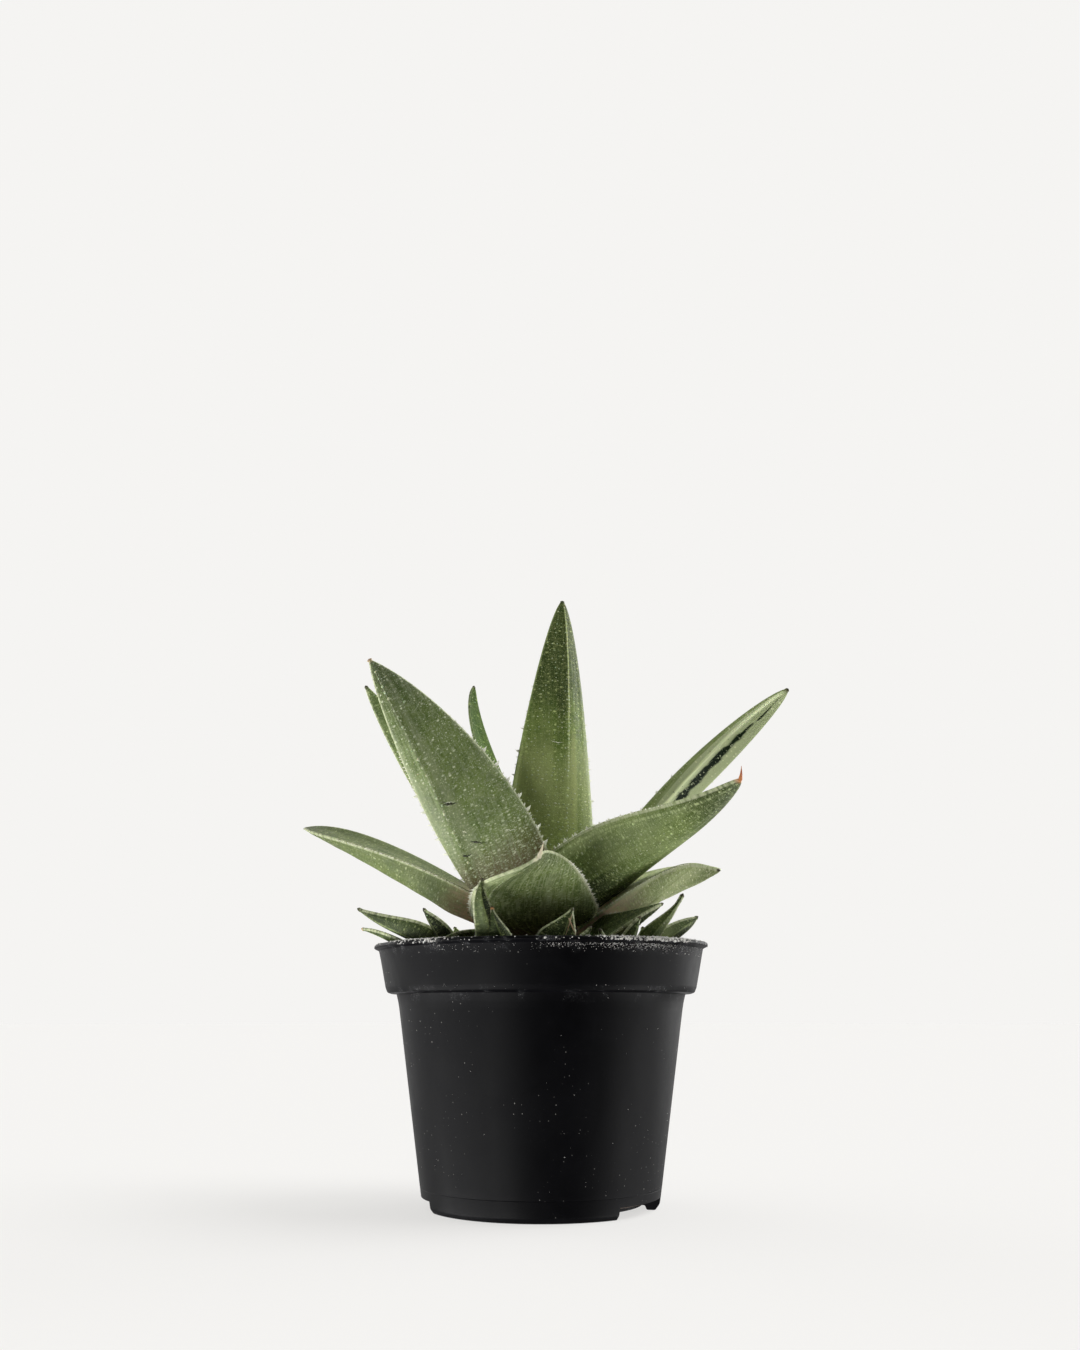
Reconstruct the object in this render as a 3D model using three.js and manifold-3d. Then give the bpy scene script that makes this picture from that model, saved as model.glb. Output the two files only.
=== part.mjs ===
// Potted rosette succulent with broad keeled leaves, in a round nursery pot.
// Units are millimetres, +Z is up and the origin is on the pot's axis at its foot.
// The front of the plant faces -Y.
import * as THREE from 'three';
import { mergeVertices } from 'three/addons/utils/BufferGeometryUtils.js';
import Module from 'manifold-3d';

const wasm = await Module();
wasm.setup();

// Driving dimensions
const GAP = 0.3;               // clearance between pieces that touch
const ROUND = 48;              // facets round the pot

const POT_HEIGHT = 82;
const LIP_RADIUS = 52.5;
const LIP_DEPTH = 1.5;
const NECK_RADIUS = 51.0;      // just under the lip
const COLLAR_RADIUS = 50.4;
const COLLAR_FOOT_RADIUS = 48.9;
const COLLAR_FOOT_Z = 66.3;
const COLLAR_ROUNDING = 2.0;
const COLLAR_TOP_Z = 77;        // where the collar starts to flare out to the lip
const BODY_RADIUS = 45.5;      // where the body leaves the collar
const SHOULDER_RADIUS = 44.6;
const SHOULDER_Z = 61.9;
const BASE_RADIUS = 37.4;      // above the foot rounding
const BASE_Z = 3.5;
const FOOT_RADIUS = 35.9;
const FOOT_WIDTH = 2.6;
const WALL = 1.2;
const FLOOR_LIFT = 1.4;        // the floor stands this far above the foot
const SLOT_HEIGHT = 3.8;
const SLOT_SWEEP = 40;         // degrees of each drainage slot
const SLOT_CENTRES = [58, -84, 130, -156]; // degrees from the front, to the right

const SOIL_EDGE_Z = 73.4;
const SOIL_CENTRE_Z = 74.6;

const STEM_FOOT_Z = 56;
const STEM_BELLY_Z = 76;
const STEM_SHOULDER_Z = 84;
const STEM_NECK_Z = 89;
const STEM_TOP_Z = 91;
const STEM_RADIUS = 8;
const STEM_SHOULDER_RADIUS = 7.6;
const STEM_NECK_RADIUS = 6.5;
const STEM_TOP_RADIUS = 4;

const OFFSET_STUB_RADIUS = 2.6;
const OFFSET_STUB_FOOT_Z = 68;
const OFFSET_STUB_TOP_Z = 77;
const OFFSET_RINGS = 8;
const OFFSET_SECTION = { upper: [-1, 0, 1], under: [1, 0.6, 0, -0.6, -1] };

const LEAF_RINGS = 13;
const LEAF_SECTION = {
  upper: [-1, -0.45, 0.45, 1],                  // across the upper face, edge to edge
  under: [1, 0.84, 0.48, 0, -0.48, -0.84, -1],  // over the keel, edge to edge
};
const RIM = 0.34;              // half the thickness of a leaf's edge
const TOOTH_HEIGHT = 0.85;
const TOOTH_LENGTH = 1.5;
const TOOTH_ROOT = 0.7;        // how far a tooth's foot is sunk in the edge
const TOOTH_FROM = 0.16;       // the toothed stretch of an edge, root at 0 and tip at 1
const TOOTH_STRETCH = 0.46;
const TOOTH_SEED = 7321;

// Leaf shape: root, two guide points and tip of the middle line, the way the
// upper face looks, width, thickness of the keeled underside, and how it tapers.
// The keel is crisp at 1 and rounded off at 0, and a spike may be hooked.
const LEAF_DEFAULTS = {
  full: 3.0, taper: 0.85, neck: 0.6, neckEnd: 0.25, keel: 0, channel: 0.6,
  rings: LEAF_RINGS, section: LEAF_SECTION, sharpFrom: 0.25, sharpTo: 0.75, twist: 0,
  thickEnd: 2, thinRoot: 0.55, crisp: 0.75, spike: 1.2, hook: [0, 0, 0], teeth: 7,
};

const LEAVES = [
  { name: 'leaf_centre_tall', root: [1.2, -1, 90], guide1: [2.7, -8.7, 122.4], guide2: [5.5, 0, 162],
    tip: [6.9, -2.5, 192.5], up: [-0.23, 0.93, 0.29], width: 33, thick: 7.2, keel: -0.25,
    full: 1.3, taper: 0.69, neck: 0.59, neckEnd: 0.14, twist: 9, spike: 0.4 },
  { name: 'leaf_heart', root: [-1, 2, 91], guide1: [-2, 5, 102], guide2: [0, 7, 114],
    tip: [2, 7, 124], up: [0.3, -0.9, 0], width: 14, thick: 4, teeth: 4 },
  { name: 'leaf_left_tall', root: [0, -5, 87], guide1: [-12.2, -13.1, 109.8],
    guide2: [-32.5, -23.1, 143.3], tip: [-52.9, -18.1, 169.1], up: [0.53, 0.34, -0.78],
    width: 31.2, thick: 6, keel: 0.57, full: 2.5, taper: 0.86, neck: 0.57, neckEnd: 0.2,
    twist: 3, spike: 0.6, teeth: 9 },
  { name: 'leaf_right_broad', root: [2, -4, 91.5], guide1: [18.4, -9.8, 116.5],
    guide2: [38.8, -17.4, 114.7], tip: [58.8, -32.8, 129.3], up: [-0.19, 0.8, 0.57],
    width: 28.2, thick: 12.1, keel: 0.2, full: 2.4, taper: 0.5, neck: 0.6, neckEnd: 0.16,
    twist: 37.5, crisp: 0.3, spike: 1.5, hook: [-0.6, 0, 3.2], teeth: 9 },
  { name: 'leaf_back_inner', root: [0, 3, 90], guide1: [-2.7, 15.4, 117.8],
    guide2: [-26.1, 33.2, 155.7], tip: [-23.5, 38.1, 174.6], up: [0.84, -0.54, 0.04],
    width: 15.7, thick: 4.6, keel: 0.25, full: 1.7, taper: 0.61, neck: 0.47, spike: 0.6 },
  { name: 'leaf_back_left', root: [-2, 2, 90], guide1: [-19.8, 9, 110.4],
    guide2: [-38.9, 31.2, 139.5], tip: [-60.1, 28.5, 172.3], up: [0.45, -0.8, 0.4],
    width: 17.7, thick: 4.6, keel: 0.33, full: 2.3, taper: 0.71, neck: 0.74, twist: -10,
    spike: 0.6 },
  { name: 'leaf_right_slender', root: [3, 2, 90], guide1: [25.1, 13.4, 112.7],
    guide2: [56.5, 23.2, 145.5], tip: [79.1, -1.8, 163.9], up: [0.4, 0.28, 0.87],
    width: 13.9, thick: 4.5, keel: 0.6, full: 3, taper: 0.63, neck: 0.71, twist: -18,
    spike: 0.5 },
  { name: 'leaf_front', root: [-2, -2, 84], guide1: [-0.6, -25.8, 96.7], guide2: [-8.9, -42, 100.4],
    tip: [-0.7, -49.3, 104.5], up: [0.03, -0.19, 0.98], width: 40.8, thick: 4, keel: 0.75,
    full: 1.4, taper: 0.45, neck: 0.61, twist: 23, crisp: 0.5, spike: 1, hook: [0.3, 0.3, 2.6],
    teeth: 10 },
  { name: 'leaf_left_low', root: [-2, -2, 86], guide1: [-34.2, 2.2, 109.9],
    guide2: [-64.6, -2.3, 118.9], tip: [-79.2, 22, 122.4], up: [0.07, -0.02, 1],
    width: 13, thick: 9.7, keel: -0.05, full: 3, taper: 0.78, neck: 0.51, twist: -32,
    spike: 0.5, teeth: 9 },
  { name: 'leaf_right_low', root: [2, -4, 84], guide1: [35, -3.8, 110.1],
    guide2: [50.4, -7.1, 107.9], tip: [55, -13.2, 104.5], up: [-0.15, -0.37, 0.92],
    width: 22.1, thick: 10.5, keel: -0.1, full: 3.15, taper: 0.8, neck: 0.85, twist: -28,
    spike: 0.6 },
  { name: 'leaf_back_low', root: [1, 3, 84], guide1: [3, 20, 89], guide2: [5, 40, 95],
    tip: [5, 50.5, 105], up: [0, -0.6, 1], width: 30, thick: 8, spike: 0.6 },
  { name: 'leaf_back_right', root: [4, 3, 85], guide1: [13, 20, 91], guide2: [24, 38, 104],
    tip: [30, 46, 116.5], up: [-0.2, -0.5, 1], width: 18, thick: 6, teeth: 5 },
  { name: 'leaf_back_short', root: [-3, 3, 85], guide1: [-8.5, 20, 91], guide2: [-17, 38, 102],
    tip: [-23, 47, 112.5], up: [0.2, -0.5, 1], width: 17, thick: 6, teeth: 5 },
  { name: 'leaf_right_dark', root: [3, -5, 83.8], guide1: [16.4, -17.6, 81.8],
    guide2: [19.4, -27.6, 87.2], tip: [36.2, -24.9, 93.1], up: [-0.73, -0.19, 0.66],
    width: 19.1, thick: 8.6, keel: -0.08, full: 2.3, taper: 0.72, neck: 0.58, twist: 3,
    spike: 0.6 },
];

// Small offset plants at the pot's edge: the foot of each on the soil, then its leaves.
const OFFSET_DEFAULTS = {
  full: 2.2, taper: 0.85, neck: 0.85, neckEnd: 0.3, keel: 0, channel: 0.25,
  rings: OFFSET_RINGS, section: OFFSET_SECTION, sharpFrom: 0.1, sharpTo: 0.6, twist: 0,
  thickEnd: 2, thinRoot: 0.9, crisp: 0.75, spike: 0.8, hook: [0, 0, 0],
};

const OFFSETS = [
  { name: 'offset_left', foot: [-30, -22], leaves: [
    { root: [-30, -22, 76], guide1: [-32.7, -19.1, 86.9], guide2: [-42, -17.6, 84.7],
      tip: [-55.9, -14.1, 92.2], up: [0.17, 0.66, 0.73], width: 11, thick: 4.1, full: 2,
      taper: 0.81 },
    { root: [-30, -22, 76], guide1: [-38.3, -17, 80.5], guide2: [-48, -12, 85.6],
      tip: [-55.4, -8.1, 86.6], up: [0.42, 0.07, 0.91], width: 6.8, thick: 2.2 },
    { root: [-29, -23, 76], guide1: [-25.9, -26, 84], guide2: [-31.6, -26.3, 86.6],
      tip: [-34.8, -25.9, 91.1], up: [0.42, 0.66, 0.63], width: 8.3, thick: 2.9, full: 2 },
    { root: [-29, -22, 76], guide1: [-28, -24.5, 84.1], guide2: [-22.5, -29.5, 85.2],
      tip: [-15.5, -34, 84.6], up: [0.2, -0.2, 1], width: 8, thick: 3 } ] },
  { name: 'offset_front_left', foot: [-15, -39.5], leaves: [
    { root: [-16, -39.5, 76], guide1: [-13.4, -42.4, 85.4], guide2: [-18.9, -44.5, 90.2],
      tip: [-16.9, -44, 98.1], up: [0.05, 0.99, -0.16], width: 6.8, thick: 2.4, keel: -0.22,
      taper: 0.76, twist: 5 },
    { root: [-14, -40, 76.7], guide1: [-10.1, -42.5, 81.2], guide2: [-13.5, -44.1, 82],
      tip: [-14, -43.9, 90], up: [0, 0.99, 0.14], width: 9.2, thick: 2.7, keel: -0.33 } ] },
  { name: 'offset_front', foot: [4, -41.5], leaves: [
    { root: [4, -41, 76], guide1: [4.4, -44.4, 82.6], guide2: [4.9, -43.9, 80.1],
      tip: [8.8, -45, 89.7], up: [0, 0.94, 0.33], width: 13, thick: 2.6, keel: -0.14,
      full: 2.7, taper: 0.93, twist: -6 },
    { root: [5, -41.5, 76], guide1: [8, -42.5, 77], guide2: [11.5, -43, 81], tip: [14, -43, 84.5],
      up: [-0.4, 0.7, 0.5], width: 5, thick: 2 } ] },
  { name: 'offset_front_right', foot: [23, -34], leaves: [
    { root: [23, -34, 76], guide1: [23.5, -35.5, 79], guide2: [26.5, -37, 84.5],
      tip: [28.4, -37.6, 87.8], up: [-0.4, 0.7, 0.4], width: 6, thick: 2.2 },
    { root: [22.5, -34, 76], guide1: [20, -37, 77.5], guide2: [18, -39.5, 81], tip: [17, -41, 84],
      up: [0.4, 0.6, 0.6], width: 5, thick: 2 } ] },
  { name: 'offset_right', foot: [32, -18], leaves: [
    { root: [31, -19, 76], guide1: [30.3, -20.8, 85.3], guide2: [38.3, -18.6, 86.9],
      tip: [42.8, -20.2, 95.9], up: [-0.07, 0.94, 0.34], width: 8, thick: 3.2, full: 1.33,
      taper: 1.13, twist: -15 },
    { root: [32, -17, 76], guide1: [36, -16.5, 84.7], guide2: [42.4, -13.6, 85.4],
      tip: [48, -12.2, 89.8], up: [-0.49, 0.7, 0.52], width: 6.7, thick: 2.8, keel: 0.26,
      full: 3.25, taper: 0.74, twist: -13 },
    { root: [32, -17, 76], guide1: [32.5, -12, 80], guide2: [32, -8, 83.5], tip: [32, -5, 87],
      up: [0, -0.7, 0.7], width: 6, thick: 2.2 } ] },
  { name: 'offset_back', foot: [-26, 30], leaves: [
    { root: [-26, 30, 76], guide1: [-32, 33, 81], guide2: [-38, 33, 86], tip: [-42, 32, 89],
      up: [0.4, -0.2, 0.9], width: 8, thick: 2.6 },
    { root: [-26, 30, 76], guide1: [-27, 35, 81], guide2: [-28, 39, 86], tip: [-30, 42, 90],
      up: [0.1, -0.6, 0.7], width: 8, thick: 2.6 } ] },
];

// Solids
function toSolid(geometry) {
  const bare = geometry.clone();
  bare.deleteAttribute('normal');
  bare.deleteAttribute('uv');
  const merged = mergeVertices(bare, 1e-4);
  return new wasm.Manifold(new wasm.Mesh({
    numProp: 3,
    vertProperties: new Float32Array(merged.attributes.position.array),
    triVerts: new Uint32Array(merged.index.array),
  }));
}

function toGeometry(solid) {
  const mesh = solid.getMesh();
  const geometry = new THREE.BufferGeometry();
  geometry.setAttribute('position', new THREE.BufferAttribute(new Float32Array(mesh.vertProperties), 3));
  geometry.setIndex(new THREE.BufferAttribute(new Uint32Array(mesh.triVerts), 1));
  return mergeVertices(geometry, 1e-3);
}

// Closes a skin of triangles, turned over first if its faces look inwards.
function closedSkin(positions, triangles) {
  const geometry = new THREE.BufferGeometry();
  geometry.setAttribute('position', new THREE.Float32BufferAttribute(positions, 3));
  geometry.setIndex(triangles);
  const solid = toSolid(geometry);
  if (solid.volume() > 0) return solid;
  geometry.setIndex([...triangles].reverse());
  return toSolid(geometry);
}

function biggestBody(solid) {
  const bodies = solid.decompose();
  let best = bodies[0];
  for (const body of bodies) {
    if (body.volume() > best.volume()) best = body;
  }
  return best;
}

function randomFrom(seed) {
  let state = seed >>> 0;
  return () => {
    state = (state * 1664525 + 1013904223) >>> 0;
    return state / 4294967296;
  };
}

function smooth(value) {
  const t = Math.min(1, Math.max(0, value));
  return t * t * (3 - 2 * t);
}

function vector(list) {
  return new THREE.Vector3(...list);
}

// Leaves
// One station of a leaf at t (0 root, 1 tip), with every surface pushed out by grow.
function leafStation(spec, t, grow) {
  const [root, guide1, guide2, tip] = [spec.root, spec.guide1, spec.guide2, spec.tip].map(vector);
  const s = 1 - t;
  const centre = root.clone().multiplyScalar(s * s * s)
    .addScaledVector(guide1, 3 * s * s * t)
    .addScaledVector(guide2, 3 * s * t * t)
    .addScaledVector(tip, t * t * t);
  const along = guide1.clone().sub(root).multiplyScalar(s * s)
    .addScaledVector(guide2.clone().sub(guide1), 2 * s * t)
    .addScaledVector(tip.clone().sub(guide2), t * t)
    .normalize();
  const upper = vector(spec.up);
  upper.addScaledVector(along, -upper.dot(along)).normalize();
  const aside = along.clone().cross(upper);
  const turn = THREE.MathUtils.degToRad(spec.twist) * t;
  const face = upper.clone().multiplyScalar(Math.cos(turn)).addScaledVector(aside, Math.sin(turn));
  const side = along.clone().cross(face);
  const narrowing = Math.pow(1 - Math.pow(t, spec.full), spec.taper);
  const neck = spec.neck + (1 - spec.neck) * smooth(t / spec.neckEnd);
  const thinning = spec.thinRoot + (1 - spec.thinRoot) * smooth(t / spec.neckEnd);
  const thick = spec.thick * thinning * Math.pow(1 - Math.pow(t, spec.thickEnd), 0.8);
  return {
    centre, along, face, side,
    half: Math.max(0.45, spec.width / 2 * narrowing * neck) + grow,
    thick: Math.max(0.35, thick),
    hollow: spec.channel * Math.min(1, 4 * s) * narrowing,
    sharp: smooth((t - spec.sharpFrom) / (spec.sharpTo - spec.sharpFrom)),
  };
}

// Upper points from one edge to the other, then over the keel on the underside and back.
function leafRing(spec, station, grow) {
  const at = (u, lift) => station.centre.clone()
    .addScaledVector(station.side, u * station.half)
    .addScaledVector(station.face, lift);
  const upper = spec.section.upper.map((u) => at(u, RIM - station.hollow * (1 - u * u) + grow));
  const under = spec.section.under.map((v) => {
    const fromKeel = Math.abs(v);
    const u = spec.keel + v * (v > 0 ? 1 - spec.keel : 1 + spec.keel);
    const rounded = Math.sqrt(1 - fromKeel * fromKeel);
    const keeled = spec.crisp * (1 - fromKeel) + (1 - spec.crisp) * rounded;
    const profile = rounded * (1 - station.sharp) + keeled * station.sharp;
    return at(u, -RIM - station.thick * profile - grow);
  });
  return [...upper, ...under];
}

// A leaf is a skin over rings of points, closed at its root and drawn out to a spike.
function leafBlade(spec, grow = 0) {
  const positions = [];
  const triangles = [];
  const { rings, section } = spec;
  const count = section.upper.length + section.under.length;
  for (let i = 0; i < rings; i++) {
    const station = leafStation(spec, 1 - Math.pow(1 - i / (rings - 1), 1.25), grow);
    for (const point of leafRing(spec, station, grow)) positions.push(...point.toArray());
  }
  for (let i = 0; i < rings - 1; i++) {
    for (let j = 0; j < count; j++) {
      const a = i * count + j;
      const b = i * count + (j + 1) % count;
      triangles.push(a, a + count, b, b, a + count, b + count);
    }
  }
  const end = leafStation(spec, 1, 0);
  const spike = end.centre.addScaledVector(end.along, spec.spike + grow).add(vector(spec.hook));
  positions.push(...spec.root, ...spike.toArray());
  const rootIndex = rings * count;
  const lastRing = (rings - 1) * count;
  for (let j = 0; j < count; j++) {
    const k = (j + 1) % count;
    triangles.push(rootIndex, j, k);
    triangles.push(rootIndex + 1, lastRing + k, lastRing + j);
  }
  return closedSkin(positions, triangles);
}

// A tooth is a small four-sided point whose foot is sunk in the leaf's edge.
function marginTooth(spec, t, edge, size, grow) {
  const station = leafStation(spec, t, 0);
  const out = station.side.clone().multiplyScalar(edge);
  const foot = station.centre.clone().addScaledVector(out, station.half - TOOTH_ROOT);
  const half = TOOTH_LENGTH * size / 2;
  const corner = (a, b) => foot.clone().addScaledVector(station.along, a * (half + 2 * grow))
    .addScaledVector(station.face, b * (RIM - 0.02 + grow));
  const apex = station.centre.clone()
    .addScaledVector(out, station.half + TOOTH_HEIGHT * size + 2 * grow)
    .addScaledVector(station.along, half * 0.8);
  const points = [corner(-1, -1), corner(1, -1), corner(1, 1), corner(-1, 1), apex];
  const faces = [0, 2, 1, 0, 3, 2, 0, 1, 4, 1, 2, 4, 2, 3, 4, 3, 0, 4];
  return closedSkin(points.flatMap((point) => point.toArray()), faces);
}

function toothedLeaf(spec, seed, grow = 0) {
  const random = randomFrom(seed);
  let leaf = leafBlade(spec, grow);
  for (const edge of [-1, 1]) {
    for (let i = 0; i < spec.teeth; i++) {
      const t = TOOTH_FROM + TOOTH_STRETCH * (i + 0.3 * random()) / spec.teeth;
      const size = 0.8 + 0.35 * random() - 0.25 * (t - TOOTH_FROM);
      leaf = leaf.add(marginTooth(spec, t, edge, size, grow));
    }
  }
  return leaf;
}

// Turned pieces
function turned(profile, segments = ROUND) {
  const points = profile.map(([r, z]) => new THREE.Vector2(r, z));
  const geometry = new THREE.LatheGeometry(points, segments);
  geometry.rotateX(Math.PI / 2);
  const solid = toSolid(geometry);
  if (solid.volume() > 0) return solid;
  return turned([...profile].reverse(), segments);
}

function bodyRadius(z) {
  return BASE_RADIUS + (SHOULDER_RADIUS - BASE_RADIUS) * (z - BASE_Z) / (SHOULDER_Z - BASE_Z);
}

const collarInner = COLLAR_RADIUS - WALL;
const floorTop = FLOOR_LIFT + WALL;

function makePot() {
  const outside = [
    [FOOT_RADIUS - FOOT_WIDTH, 0], [FOOT_RADIUS, 0], [BASE_RADIUS - 0.3, 1.6], [BASE_RADIUS, BASE_Z],
    [SHOULDER_RADIUS, SHOULDER_Z], [SHOULDER_RADIUS + 0.3, SHOULDER_Z + 1.9],
    [BODY_RADIUS, COLLAR_FOOT_Z + 0.2],
    [COLLAR_FOOT_RADIUS - COLLAR_ROUNDING, COLLAR_FOOT_Z],
    [COLLAR_FOOT_RADIUS - 0.6, COLLAR_FOOT_Z + 0.5],
    [COLLAR_FOOT_RADIUS, COLLAR_FOOT_Z + COLLAR_ROUNDING],
    [COLLAR_RADIUS, COLLAR_TOP_Z], [NECK_RADIUS, POT_HEIGHT - LIP_DEPTH - 0.3],
    [LIP_RADIUS, POT_HEIGHT - LIP_DEPTH + 0.4], [LIP_RADIUS - 0.1, POT_HEIGHT - 0.3],
    [LIP_RADIUS - 0.6, POT_HEIGHT],
  ];
  const inside = [
    [NECK_RADIUS - WALL, POT_HEIGHT], [collarInner, COLLAR_TOP_Z],
    [COLLAR_FOOT_RADIUS - WALL, COLLAR_FOOT_Z + COLLAR_ROUNDING],
    [BODY_RADIUS - WALL, COLLAR_FOOT_Z + 1.6],
    [SHOULDER_RADIUS - WALL, SHOULDER_Z],
    [bodyRadius(floorTop + 1) - WALL, floorTop + 1],
    [bodyRadius(floorTop) - WALL - 1, floorTop],
    [0, floorTop], [0, FLOOR_LIFT], [FOOT_RADIUS - FOOT_WIDTH - 0.6, FLOOR_LIFT],
  ];
  let pot = turned([...outside, ...inside, outside[0]]);
  for (const centre of SLOT_CENTRES) pot = pot.subtract(drainSlot(centre));
  return pot;
}

// A slot is a short curved block through the lower edge of wall and floor.
function drainSlot(centre) {
  const inner = FOOT_RADIUS - FOOT_WIDTH - 1.6;
  const outer = BASE_RADIUS + 3;
  const shape = new THREE.Shape();
  const from = THREE.MathUtils.degToRad(centre - SLOT_SWEEP / 2 - 90);
  const to = THREE.MathUtils.degToRad(centre + SLOT_SWEEP / 2 - 90);
  shape.absarc(0, 0, outer, from, to, false);
  shape.absarc(0, 0, inner, to, from, true);
  shape.closePath();
  const block = new THREE.ExtrudeGeometry(shape, {
    depth: SLOT_HEIGHT + 1, bevelEnabled: false, curveSegments: 8,
  });
  block.translate(0, 0, -1);
  return toSolid(block);
}

function post(x, y, low, high, lowRadius, highRadius, segments) {
  const geometry = new THREE.CylinderGeometry(highRadius, lowRadius, high - low, segments);
  geometry.rotateX(Math.PI / 2);
  geometry.translate(x, y, (high + low) / 2);
  return toSolid(geometry);
}

function makeSoil() {
  const inner = (radius) => radius - WALL - GAP;
  const shelf = COLLAR_FOOT_Z + 1.6 + GAP;
  let soil = turned([
    [0, floorTop + GAP], [inner(bodyRadius(floorTop)) - 1.2, floorTop + GAP],
    [inner(bodyRadius(floorTop + 1.4)), floorTop + 1.4],
    [inner(SHOULDER_RADIUS), SHOULDER_Z], [inner(BODY_RADIUS) - 0.1, shelf],
    [inner(COLLAR_FOOT_RADIUS) - 0.2, shelf + 1], [collarInner - GAP - 0.6, SOIL_EDGE_Z],
    [26, SOIL_CENTRE_Z], [0, SOIL_CENTRE_Z],
  ]);
  soil = soil.subtract(post(0, 0, STEM_FOOT_Z - GAP, 90, STEM_RADIUS - 1 + GAP, STEM_RADIUS + 0.6 + GAP, 28));
  for (const offset of OFFSETS) {
    const [x, y] = offset.foot;
    soil = soil.subtract(post(x, y, OFFSET_STUB_FOOT_Z - GAP, 90,
      OFFSET_STUB_RADIUS + GAP, OFFSET_STUB_RADIUS + GAP, 16));
  }
  return soil;
}

function makeStem() {
  return turned([
    [0, STEM_FOOT_Z], [STEM_RADIUS - 1, STEM_FOOT_Z], [STEM_RADIUS, STEM_BELLY_Z],
    [STEM_SHOULDER_RADIUS, STEM_SHOULDER_Z], [STEM_NECK_RADIUS, STEM_NECK_Z],
    [STEM_TOP_RADIUS, STEM_TOP_Z], [0, STEM_TOP_Z],
  ], 28);
}

function makeOffset(offset) {
  const [x, y] = offset.foot;
  let plant = post(x, y, OFFSET_STUB_FOOT_Z, OFFSET_STUB_TOP_Z, OFFSET_STUB_RADIUS, OFFSET_STUB_RADIUS, 10);
  for (const leaf of offset.leaves) {
    plant = plant.add(leafBlade({ ...OFFSET_DEFAULTS, ...leaf }));
  }
  return plant;
}

// Assembly
const group = new THREE.Group();

function addPiece(name, solid, colour, roughness) {
  const material = new THREE.MeshStandardMaterial({ color: colour, roughness, metalness: 0 });
  const mesh = new THREE.Mesh(toGeometry(solid), material);
  mesh.name = name;
  group.add(mesh);
}

addPiece('pot', makePot(), 0x1a1a1c, 0.55);

const stem = makeStem();
const soil = makeSoil();
addPiece('stem', stem, 0x6b6247, 0.8);

const stemRoom = turned([
  [0, STEM_FOOT_Z - 2], [STEM_RADIUS + GAP, STEM_FOOT_Z - 2], [STEM_RADIUS + GAP, STEM_BELLY_Z],
  [STEM_SHOULDER_RADIUS + GAP, STEM_SHOULDER_Z + GAP], [STEM_NECK_RADIUS + GAP, STEM_NECK_Z + GAP],
  [STEM_TOP_RADIUS + GAP, STEM_TOP_Z + GAP], [0, STEM_TOP_Z + GAP],
], 28);

// Leaves are laid from the heart outwards; each is cut clear of those inside it.
const leafRooms = [];
LEAVES.forEach((entry, index) => {
  const spec = { ...LEAF_DEFAULTS, ...entry };
  const seed = TOOTH_SEED + index * 101;
  let leaf = toothedLeaf(spec, seed).subtract(stemRoom);
  for (const room of leafRooms) leaf = leaf.subtract(room);
  leaf = biggestBody(leaf);
  leafRooms.push(toothedLeaf(spec, seed, GAP));
  addPiece(entry.name, leaf, 0x6d7d4f, 0.5);
});

for (const offset of OFFSETS) {
  addPiece(offset.name, makeOffset(offset), 0x5a6b43, 0.55);
}
addPiece('soil', soil, 0x3a2f26, 0.95);

export default group;
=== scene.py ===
import math

import bpy
import numpy as np
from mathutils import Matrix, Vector


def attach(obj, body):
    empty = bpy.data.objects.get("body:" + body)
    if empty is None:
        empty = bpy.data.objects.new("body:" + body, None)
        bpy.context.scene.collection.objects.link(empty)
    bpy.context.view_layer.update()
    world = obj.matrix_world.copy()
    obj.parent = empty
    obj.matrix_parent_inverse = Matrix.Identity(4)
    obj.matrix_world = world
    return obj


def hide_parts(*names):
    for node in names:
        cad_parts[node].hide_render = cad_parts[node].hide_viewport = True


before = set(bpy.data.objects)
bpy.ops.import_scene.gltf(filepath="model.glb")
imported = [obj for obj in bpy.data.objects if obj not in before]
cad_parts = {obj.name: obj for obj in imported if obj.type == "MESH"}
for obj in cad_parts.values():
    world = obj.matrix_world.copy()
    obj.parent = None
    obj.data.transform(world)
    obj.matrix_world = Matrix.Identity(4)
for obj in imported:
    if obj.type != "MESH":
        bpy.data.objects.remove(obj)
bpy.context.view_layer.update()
scene = bpy.context.scene

# The dressed potted rosette succulent. Shapes are worked out in millimetres, +Z up,
# with the origin on the pot's axis at its foot, and stored in metres.
MM = 0.001

# Leaves: half the thickness of a margin, and the materials of a dressed leaf by number
RIM = 0.34
SKIN, FLECK, TOOTH, CRACK = range(4)
LEAF_SEED = 7321
OFFSET_SEED = 911
# The stretch of each margin with the larger teeth, root at 0 and tip at 1
TOOTH_FROM = 0.16
TOOTH_STRETCH = 0.46
TOOTH_HEIGHT = 1.45
TOOTH_LENGTH = 1.2
# The foot of a tooth and of a fleck is sunk by this much
TOOTH_ROOT = 0.25
FLECK_ROOT = 0.05

# Pot: drainage slots in the lower edge, degrees round from the front to the right
SLOT_CENTRES = (58, -84, 130, -156)
SLOT_SWEEP = 40
SLOT_HEIGHT = 3.8
SLOT_INNER, SLOT_OUTER = 31.7, 41
SLOT_STEPS = 25
# How far the lip stands higher on the right than in the middle
LIP_TILT = 0.35
# Dirty stretches on the lip and under it, degrees round from the front to the right
LIP_DIRT = [-50, -43, -38, 26, 35, 44, 52]
UNDER_LIP_DIRT = [-48, -40, 8, 22, 30, 38, 46]
# The pot's outer wall from the body up to the lip
WALL_HEIGHTS = [3.5, 61.9, 63.8, 66.4, 66.5, 68.3, 77, 80.2]
WALL_RADII = [37.4, 44.6, 44.9, 45.5, 48.1, 48.9, 50.4, 51.0]

# A full turn as the random draws take it
TURN = 6.2832
NEAR_TURN = 6.28

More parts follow.
